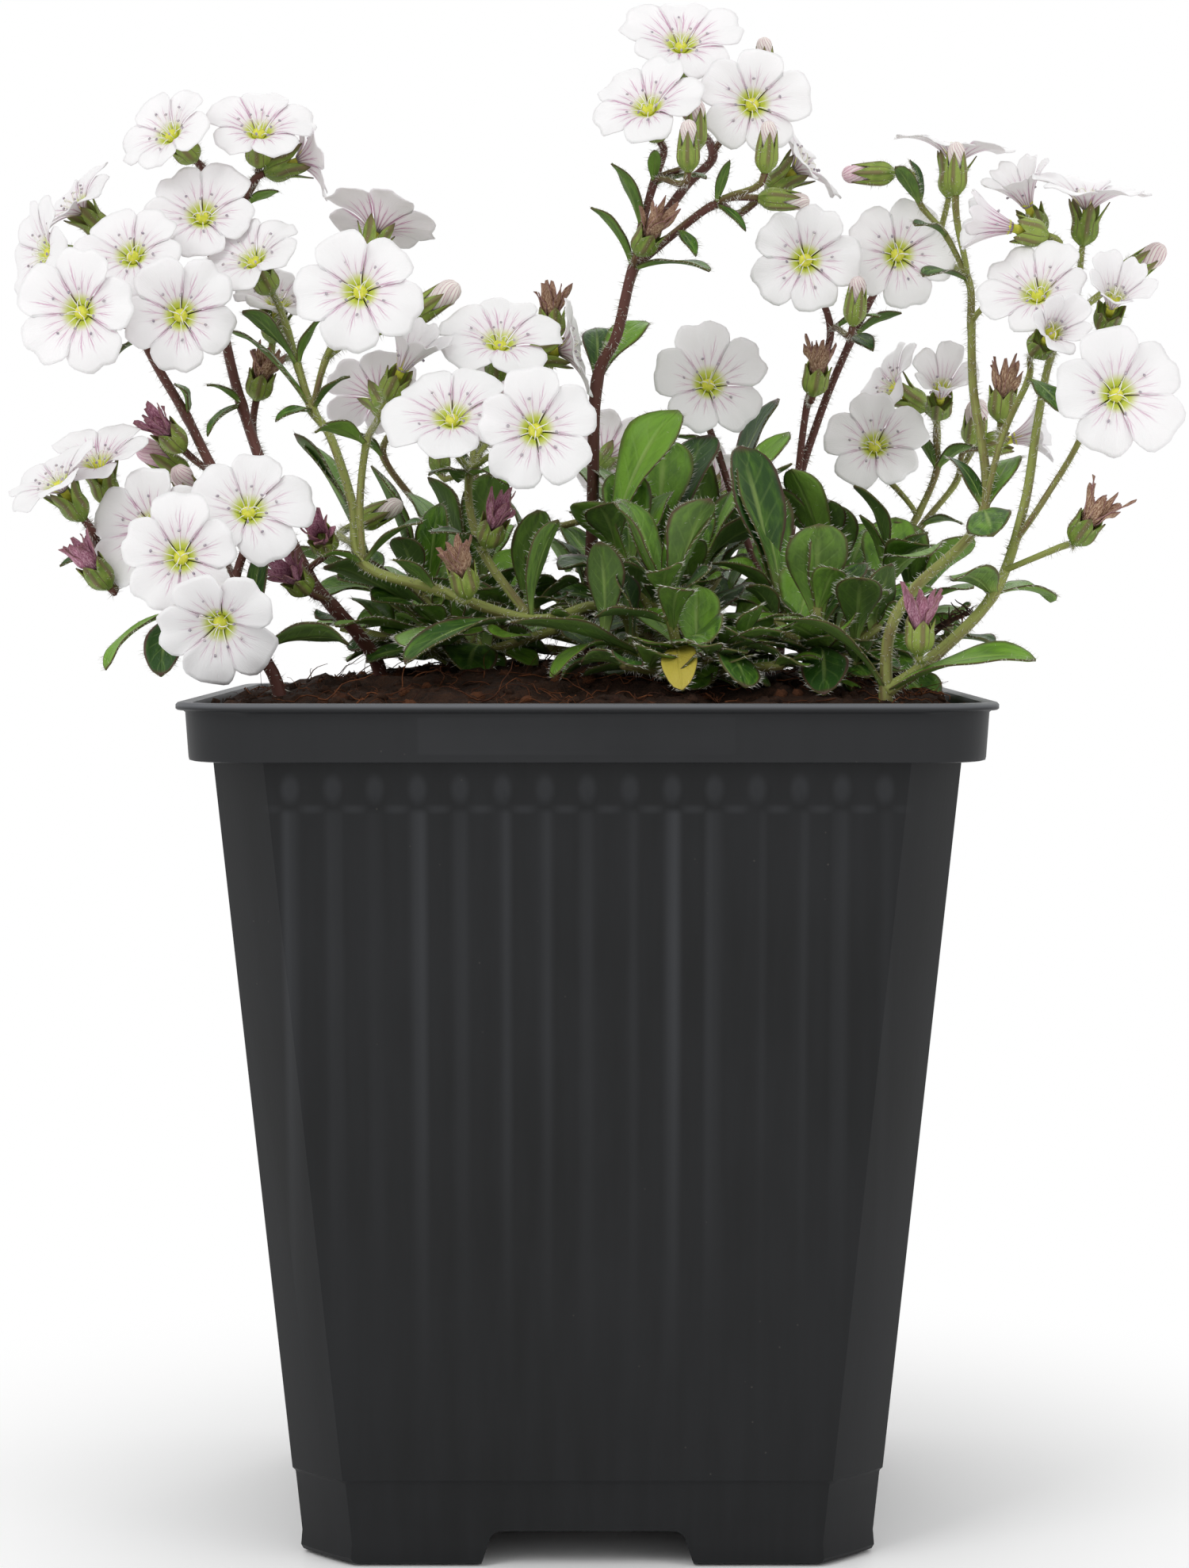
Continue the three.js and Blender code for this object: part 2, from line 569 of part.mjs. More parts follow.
function buildSoil(feet) {
  const inside = (z) => bodyHalf(z) - pot.wall - gap;
  const edge = pot.bandHalf - pot.wall - gap;
  const rings = [
    squareRing(pot.floor + gap, inside(pot.floor + gap), pot.cornerCut, 1),
    squareRing(bandBottom - 1, inside(bandBottom - 1), pot.cornerCut, 1),
    soilRing(edge - 0.2, () => bandBottom + 2),
  ];
  for (const [row, share] of [1, 0.84, 0.66, 0.46, 0.24].entries()) {
    rings.push(soilRing(edge * share, (x, y, i) => {
      const lump = soil.lump * (2 * chance(row + 1, i) - 1) * (row === 0 ? 0.4 : 1);
      return soilTop(x, y) + lump;
    }));
  }
  rings.push([vec(0, 0, soil.edge + soil.mound + soil.lump)]);
  return feet.reduce((mound, [x, y, radius]) => {
    const deep = soilTop(x, y) - soil.rootDepth - gap;
    const hole = new THREE.CylinderGeometry(radius + gap, radius + gap, 30, 6);
    hole.rotateX(Math.PI / 2).translate(x, y, deep + 15);
    return mound.subtract(solidOf(hole));
  }, loft(rings));
}

// Rings of a tapered round stem along a curve, from its foot to its tip
function stemRings(curve, steps, sides, footRadius, tipRadius, taper = 1) {
  const rings = [];
  let across = Math.abs(curve.getTangent(0).x) < 0.7 ? vec(1, 0, 0) : vec(0, 1, 0);
  for (let i = 0; i <= steps; i++) {
    const centre = curve.getPoint(i / steps);
    const along = curve.getTangent(i / steps);
    const radius = THREE.MathUtils.lerp(footRadius, tipRadius, (i / steps) ** taper);
    across = across.clone().addScaledVector(along, -across.dot(along)).normalize();
    const other = along.clone().cross(across);
    rings.push(Array.from({ length: sides }, (_, k) => {
      const turn = 2 * Math.PI * (k + 0.5) / sides;
      return centre.clone().addScaledVector(across, radius * Math.cos(turn))
        .addScaledVector(other, radius * Math.sin(turn));
    }));
  }
  return rings;
}

const throughPoints = (route) => (
  new THREE.CatmullRomCurve3(route.map((point) => vec(...point)), false, 'catmullrom', 0.5)
);

// A pedicel leaves the stem towards its head and arrives along the way the head faces
function pedicelCurve(from, base, facing) {
  const span = base.distanceTo(from);
  const away = base.clone().sub(from).normalize().add(vec(0, 0, 0.5)).normalize();
  return new THREE.CubicBezierCurve3(from, from.clone().addScaledVector(away, 0.35 * span),
    base.clone().addScaledVector(facing, -0.4 * span), base);
}

// Points given in a head's own axes, placed at its throat
function headFrame(head) {
  const [, , , , x, y, z, bearing, rise] = head;
  const facing = aim(bearing, rise);
  const right = levelSide(bearing);
  const up = facing.clone().cross(right);
  const place = (radius, turn, height) => vec(x, y, z)
    .addScaledVector(right, radius * Math.cos(turn))
    .addScaledVector(up, radius * Math.sin(turn))
    .addScaledVector(facing, height);
  return { facing, place };
}

// Evenly turned ring in a head's axes; radius and height may differ from point to point
function headRing(place, count, start, radiusAt, heightAt) {
  return Array.from({ length: count }, (_, i) => {
    const turn = start + 2 * Math.PI * i / count;
    return place(radiusAt(i), turn, heightAt(i));
  });
}

const headSpin = (head) => 2 * Math.PI * chance(head[4], head[6]);

// Rings of a head above its stalk: a bell-shaped calyx, with teeth round a hollow for a bloom,
// closed round the furled petals of a bud, or round a crumpled brush of dried petals
function headRings(head) {
  const { place } = headFrame(head);
  const [, kind, , , , , , , , size] = head;
  const start = headSpin(head);
  const even = (i) => i % 2 === 0;
  if (kind === 'bud') {
    return [
      headRing(place, 5, start, () => calyx.bellyRadius, () => -0.6 * calyx.length),
      headRing(place, 5, start + 0.4, () => 1.35, () => -0.12 * calyx.length),
      headRing(place, 5, start + 0.8, () => 0.3 + 0.22 * size, () => 0.3 * size - 0.3),
      [place(0, 0, 0.62 * size)],
    ];
  }
  if (kind === 'spent') {
    return [
      headRing(place, 5, start, () => calyx.bellyRadius, () => -0.6 * calyx.length),
      headRing(place, 5, start + 0.4, () => 1.6, () => -0.4),
      headRing(place, 10, start, (i) => (even(i) ? 1.8 : 1.1), (i) => (even(i) ? 0.5 : 0.22) * size),
      [place(0, 0, 0.3 * size)],
    ];
  }
  return [
    headRing(place, 5, start, () => calyx.bellyRadius, () => -0.66 * calyx.length),
    headRing(place, 10, start, (i) => (even(i) ? calyx.toothRadius : calyx.notchRadius),
      (i) => (even(i) ? calyx.toothTip : calyx.notch)),
    [place(0, 0, calyx.cup)],
  ];
}

// Radius and height on a petal at a share of its reach: an arc whose slope turns from throat to tip
function petalArc(reach, slopes, share) {
  const from = rad(slopes[0]);
  const to = rad(slopes[1]);
  const here = from + (to - from) * share;
  return [
    throatRadius + 1.05 * reach * (Math.cos(from) - Math.cos(here)) / (to - from),
    1.05 * reach * (Math.sin(here) - Math.sin(from)) / (to - from),
  ];
}

// Five notched petals in one solid, thickest at the throat, on a short neck that stands in the calyx
function buildBloom(head) {
  const { place } = headFrame(head);
  const [, kind, , , x, , z, , , size] = head;
  const spin = headSpin(head);
  const edge = [];
  const middle = [];
  const under = [];
  for (let petal = 0; petal < 5; petal++) {
    const reach = size * (0.94 + 0.12 * chance(x + petal, z));
    const lift = 16 * (chance(z + petal, x) - 0.5);
    const slopes = [openness[kind][0], openness[kind][1] + lift];
    const centre = spin + rad(72 * petal + 36);
    for (const [angle, share] of petalOutline) {
      const deep = angle === -36;
      const [radius, height] = petalArc(deep ? size : reach, deep ? openness[kind] : slopes, share);
      edge.push(place(radius, centre + rad(angle), height));
    }
    const [crease, rise] = petalArc(size, openness[kind], 0.3);
    middle.push(place(crease, centre - rad(36), rise));
    under.push(place(neck.radius, centre - rad(36), neck.height));
  }
  return loft([[place(0, 0, neck.tip)], under, edge, middle, [place(0, 0, 0.5)]]);
}

// Rings of a spoon-shaped blade, flat above with a keel below, from one share of its length to its tip.
// A margin makes it larger all round.
function bladeRings(leaf, margin, fromShare) {
  const { base, bearing, rise, length, width, arch, roll, seed } = leaf;
  const along = aim(bearing, rise);
  const side = levelSide(bearing).applyAxisAngle(along, rad(roll));
  const face = along.clone().cross(side);
  const rings = [];
  const middle = length < smallLeaf ? [[0.64, 1, 0.6]] : [[0.42, 0.68, 0.3], [0.78, 1, 0.8]];
  for (const [share, spread, tilt] of [[0, 0, 0], ...middle]) {
    if (share < fromShare) continue;
    const centre = base.clone().addScaledVector(along, share * length)
      .addScaledVector(face, 4 * arch * share * (1 - share));
    const half = Math.max(bladeFoot.half, 0.5 * width * spread) + margin;
    const keel = (share === 0 ? bladeFoot.keel : keelDepth) + margin;
    const wave = tilt * half * (chance(seed, 5) - 0.5);
    rings.push([
      centre.clone().addScaledVector(face, -keel),
      centre.clone().addScaledVector(side, half).addScaledVector(face, margin + wave),
      centre.clone().addScaledVector(side, -half).addScaledVector(face, margin - wave),
    ]);
  }
  rings.push([base.clone().addScaledVector(along, length + margin)]);
  return rings;
}

const blade = (leaf, margin, fromShare) => loft(bladeRings(leaf, margin, fromShare));

const grown = new Map(); // name of each piece to its solid so far

function boxesMeet(a, b) {
  const first = a.boundingBox();
  const second = b.boundingBox();
  return [0, 1, 2].every((i) => first.min[i] <= second.max[i] && second.min[i] <= first.max[i]);
}

// Whether a leaf comes too near another piece, or its outer half too near its own
function crosses(leaf, ownName) {
  const whole = blade(leaf, gap, 0);
  const outer = blade(leaf, 0, 0.4);
  for (const [name, solid] of grown) {
    const probe = name === ownName ? outer : whole;
    if (boxesMeet(probe, solid) && !probe.intersect(solid).isEmpty()) return true;
  }
  return false;
}

// Adds a leaf to its piece, turned or lifted until it is clear of all others; crowded ones don't grow
function growLeaf(ownName, shape) {
  for (const [turn, lift] of sways) {
    const leaf = shape(turn, lift);
    if (crosses(leaf, ownName)) continue;
    grown.set(ownName, grown.get(ownName).add(blade(leaf, 0, 0)));
    return leaf;
  }
  return null;
}

const bearingOf = (v) => THREE.MathUtils.radToDeg(Math.atan2(v.x, -v.y));
const riseOf = (v) => THREE.MathUtils.radToDeg(Math.asin(v.z / v.length()));

// A leaf from its foot to a tip that is chosen by hand
function leafTo(base, tip, width, arch, seed) {
  const chord = vec(...tip).sub(base);
  const roll = 30 * (chance(seed, 7) - 0.5);
  return (turn, lift) => ({
    base, bearing: bearingOf(chord) + turn, rise: Math.min(86, riseOf(chord) + lift), length: chord.length(),
    width, arch, roll, seed,
  });
}

const sprayName = (spray) => `spray_${spray.name}`;

// Routes of a spray's stems by name; the first one starts deep in the soil, straight below its foot
function sprayRoutes(spray) {
  const routes = new Map();
  const [x, y] = spray.foot;
  const ground = [[x, y, soilTop(x, y) - soil.rootDepth], [x, y, soilTop(x, y) + 1]];
  for (const [name, , , route] of spray.stems) {
    routes.set(name, routes.size === 0 ? [...ground, ...route] : route);
  }
  return routes;
}

function buildSpray(spray) {
  const solids = [];
  const routes = sprayRoutes(spray);
  const ended = new Set();
  const tips = new Map();
  for (const head of spray.heads) {
    const [, , stem, point] = head;
    if (point === routes.get(stem).length - 1 && !tips.has(stem)) {
      tips.set(stem, head);
      ended.add(head);
    }
  }
  for (const [name, footRadius, tipRadius] of spray.stems) {
    const route = routes.get(name);
    const head = tips.get(name);
    if (!head) {
      const curve = throughPoints(route);
      solids.push(loft(stemRings(curve, route.length - 1, stemSides, footRadius, tipRadius, stemTaper)));
      continue;
    }
    const { facing, place } = headFrame(head);
    const base = place(0, 0, -calyx.length);
    const span = base.distanceTo(vec(...route[route.length - 1]));
    const bend = base.clone().addScaledVector(facing, -0.4 * span);
    const curve = throughPoints([...route, bend.toArray(), base.toArray()]);
    const rings = stemRings(curve, route.length + 1, stemSides, footRadius, calyx.baseRadius, stemTaper);
    solids.push(loft([...rings, ...headRings(head)]));
  }
  for (const head of spray.heads.filter((other) => !ended.has(other))) {
    const [, , stem, point] = head;
    const { facing, place } = headFrame(head);
    const curve = pedicelCurve(vec(...routes.get(stem)[point]), place(0, 0, -calyx.length), facing);
    const steps = curve.getLength() < shortPedicel ? 1 : 2;
    const stalk = stemRings(curve, steps, stemSides, forkRadius, calyx.baseRadius);
    solids.push(loft([...stalk, ...headRings(head)]));
  }
  return join(solids);
}

// Shoots leave the crown steeply, then lean out to their tops
function shootCurve(tuft, [x, y, z]) {
  const [fx, fy] = tuft.foot;
  const low = soilTop(fx, fy) + 0.4;
  const middle = [(2 * fx + x) / 3, (2 * fy + y) / 3, low + 0.45 * (z - low)];
  return throughPoints([[fx, fy, low], middle, [x, y, z]]);
}

function buildCrown(tuft) {
  const [x, y] = tuft.foot;
  const top = soilTop(x, y);
  const core = throughPoints([[x, y, top - soil.rootDepth], [x, y, top + 1.2]]);
  return loft(stemRings(core, 1, 6, crownRadius, crownRadius));
}

// Ring of a shoot's square section; its first facet faces the given bearing
function facetRing(curve, share, facing) {
  const centre = curve.getPoint(share);
  const along = curve.getTangent(share);
  return [-45, 45, 135, 225].map((turn) => {
    const out = aim(facing + turn, 0);
    out.addScaledVector(along, -out.dot(along)).normalize();
    return centre.clone().addScaledVector(out, shootRadius);
  });
}

// A shoot is a square rod. The leaves of a pair grow out of two opposite facets, and those of the next
// pair out of the two between.
function leafyShoot(curve, facing, leaves) {
  const skin = new Skin();
  const half = nodeHeight / curve.getLength() / 2;
  const shares = [0, ...pairHeights.flatMap((height) => [height - half, height + half])];
  const rings = shares.map((share) => skin.ring(facetRing(curve, share, facing)));
  skin.foot(rings[0]);
  for (let i = 0; i + 1 < rings.length; i++) {
    for (let facet = 0; facet < 4; facet++) {
      const next = (facet + 1) % 4;
      const around = [rings[i][facet], rings[i][next], rings[i + 1][next], rings[i + 1][facet]];
      const leaf = leaves.find((other) => 2 * other.pair + 1 === i && other.facet === facet);
      if (leaf) skin.strip([around, ...bladeRings(leaf, 0, 0.4).map((ring) => skin.ring(ring))]);
      else skin.head(around);
    }
  }
  const tip = curve.getPoint(1).addScaledVector(curve.getTangent(1), shootRadius);
  skin.strip([rings[rings.length - 1], skin.ring([tip])]);
  return skin.solid();
}

// The leaf of one pair on one facet of a shoot; its rise is measured from square to the shoot
function pairLeaf(curve, facing, pair, facet, longest, seed) {
  const share = pairHeights[pair];
  const along = curve.getTangent(share);
  const length = longest * pairLengths[pair] * (0.88 + 0.24 * chance(seed, 1));
  const bearing = facing + 90 * facet + 30 * (chance(seed, 2) - 0.5);
  const rise = pairRises[pair] + 20 * (chance(seed, 3) - 0.5);
  const roll = 30 * (chance(seed, 4) - 0.5);
  return (turn, lift) => {
    const out = aim(bearing + turn, 0);
    out.addScaledVector(along, -out.dot(along)).normalize();
    const up = rad(Math.min(68, rise + lift));
    const heading = out.multiplyScalar(Math.cos(up)).addScaledVector(along, Math.sin(up));
    return { base: curve.getPoint(share), bearing: bearingOf(heading), rise: riseOf(heading), length,
      width: leafWidth * length, arch: 0.08 * length, roll, seed, pair, facet };
  };
}

function growTuft(tuft, number) {
  const name = `tuft_${tuft.name}`;
  const curves = tuft.shoots.map((shoot) => shootCurve(tuft, shoot));
  const blades = tuft.leaves.map(([shoot, share, x, y, z, width, arch], i) => (
    growLeaf(name, leafTo(curves[shoot].getPoint(share), [x, y, z], width, arch, 100 * number + i))
  ));
  const solids = [buildCrown(tuft), ...blades.filter(Boolean).map((leaf) => blade(leaf, 0, 0))];
  tuft.shoots.forEach(([, , , longest, facing], s) => {
    const leaves = [];
    for (let k = 0; k < 2 * pairHeights.length; k++) {
      const pair = Math.floor(k / 2);
      const facet = pair % 2 + 2 * (k % 2);
      const seed = 100 * number + 20 * (s + 1) + k;
      leaves.push(growLeaf(name, pairLeaf(curves[s], facing, pair, facet, longest, seed)));
    }
    solids.push(leafyShoot(curves[s], facing, leaves.filter(Boolean)));
  });
  grown.set(name, join(solids));
}

// Growing order: pot and sprays, blooms, growing medium with a hole for every foot, then the leaves
grown.set('pot', buildPot());
for (const spray of sprays) grown.set(sprayName(spray), buildSpray(spray));
for (const tuft of tufts) {
  const bare = tuft.shoots.map((shoot) => leafyShoot(shootCurve(tuft, shoot), shoot[4], []));
  grown.set(`tuft_${tuft.name}`, join([buildCrown(tuft), ...bare]));
}
grown.set('soil', buildSoil([
  ...sprays.map(({ foot, stems: [[, radius]] }) => [...foot, radius]),
  ...tufts.map(({ foot }) => [foot[0], foot[1], crownRadius]),
]));
for (const spray of sprays) {
  for (const head of spray.heads.filter(([number]) => number > 0)) {
    const name = `bloom_${spray.name}_${head[0]}`;
    const bloom = buildBloom(head);
    grown.set(name, grown.has(name) ? grown.get(name).add(bloom) : bloom);
  }
}
sprays.forEach((spray, number) => {
  const routes = sprayRoutes(spray);
  spray.leaves.forEach(([stem, point, x, y, z, width, arch], i) => {
    const base = vec(...routes.get(stem)[point]);
    growLeaf(sprayName(spray), leafTo(base, [x, y, z], width, arch, 1000 + 50 * number + i));
  });
});
tufts.forEach(growTuft);

const finishes = {
  pot: { color: colours.pot, roughness: 0.45, metalness: 0 },
  soil: { color: colours.soil, roughness: 0.95, metalness: 0 },
  tuft: { color: colours.leaf, roughness: 0.55, metalness: 0 },
  spray: { color: colours.stem, roughness: 0.6, metalness: 0 },
  bloom: { color: colours.petal, roughness: 0.6, metalness: 0 },
};

// Keeps the largest shell of a mesh, so that a hollow sealed between crossing leaves is filled
function outerShell(triangles, vertexCount) {
  const parent = Array.from({ length: vertexCount }, (_, i) => i);
  const root = (i) => (parent[i] === i ? i : root(parent[i]));
  for (let t = 0; t < triangles.length; t += 3) {
    parent[root(triangles[t + 1])] = root(triangles[t]);
    parent[root(triangles[t + 2])] = root(triangles[t]);
  }
  const shells = new Map();
  for (let t = 0; t < triangles.length; t += 3) {
    const key = root(triangles[t]);
    shells.set(key, [...(shells.get(key) ?? []), ...triangles.slice(t, t + 3)]);
  }
  return [...shells.values()].reduce((best, shell) => (shell.length > best.length ? shell : best));
}

const plant = new THREE.Group();
for (const [name, solid] of grown) {
  const { vertProperties, triVerts } = solid.getMesh();
  const geometry = new THREE.BufferGeometry();
  geometry.setAttribute('position', new THREE.BufferAttribute(vertProperties, 3));
  geometry.setIndex(outerShell(triVerts, vertProperties.length / 3));
  const mesh = new THREE.Mesh(geometry, new THREE.MeshStandardMaterial(finishes[name.split('_')[0]]));
  mesh.name = name;
  plant.add(mesh);
}

export default plant;
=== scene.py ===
# Potted gypsophila cerastioides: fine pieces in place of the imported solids, with their materials,
# studio light and the camera. Lengths are in millimetres until a mesh is made, then in metres.

import math

import bpy
import numpy as np
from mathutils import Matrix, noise


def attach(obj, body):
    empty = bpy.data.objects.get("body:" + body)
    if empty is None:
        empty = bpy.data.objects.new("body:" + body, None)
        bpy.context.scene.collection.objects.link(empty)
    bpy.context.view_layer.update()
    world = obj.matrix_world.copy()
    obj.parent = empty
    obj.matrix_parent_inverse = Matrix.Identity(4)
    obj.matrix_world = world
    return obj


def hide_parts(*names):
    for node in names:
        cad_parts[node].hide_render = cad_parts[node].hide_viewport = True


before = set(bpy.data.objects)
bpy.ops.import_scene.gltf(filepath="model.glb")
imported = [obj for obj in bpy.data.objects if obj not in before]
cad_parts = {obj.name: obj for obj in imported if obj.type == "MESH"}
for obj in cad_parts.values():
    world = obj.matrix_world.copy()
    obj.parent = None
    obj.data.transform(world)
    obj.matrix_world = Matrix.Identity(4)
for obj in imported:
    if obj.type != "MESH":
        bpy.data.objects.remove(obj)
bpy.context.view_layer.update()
dice = np.random.default_rng(11)  # every scattered hair, crumb and fibre comes from this one seed
print("frame loaded")

# Camera: fitted to the photographed pot, 425 mm in front of its middle
view = {"place": (0.8, -425, 111.1), "down": 3.15, "lens": 105.14, "sensor": 36}
lens = bpy.data.cameras.new("photoCamera")
lens.sensor_fit = "HORIZONTAL"
lens.sensor_width = view["sensor"]
lens.lens = view["lens"]
lens.clip_start = 0.01
camera = bpy.data.objects.new("photoCamera", lens)
camera.location = [value * 0.001 for value in view["place"]]
camera.rotation_euler = (math.radians(90 - view["down"]), 0, 0)
bpy.context.scene.collection.objects.link(camera)
bpy.context.scene.camera = camera
print("camera placed")

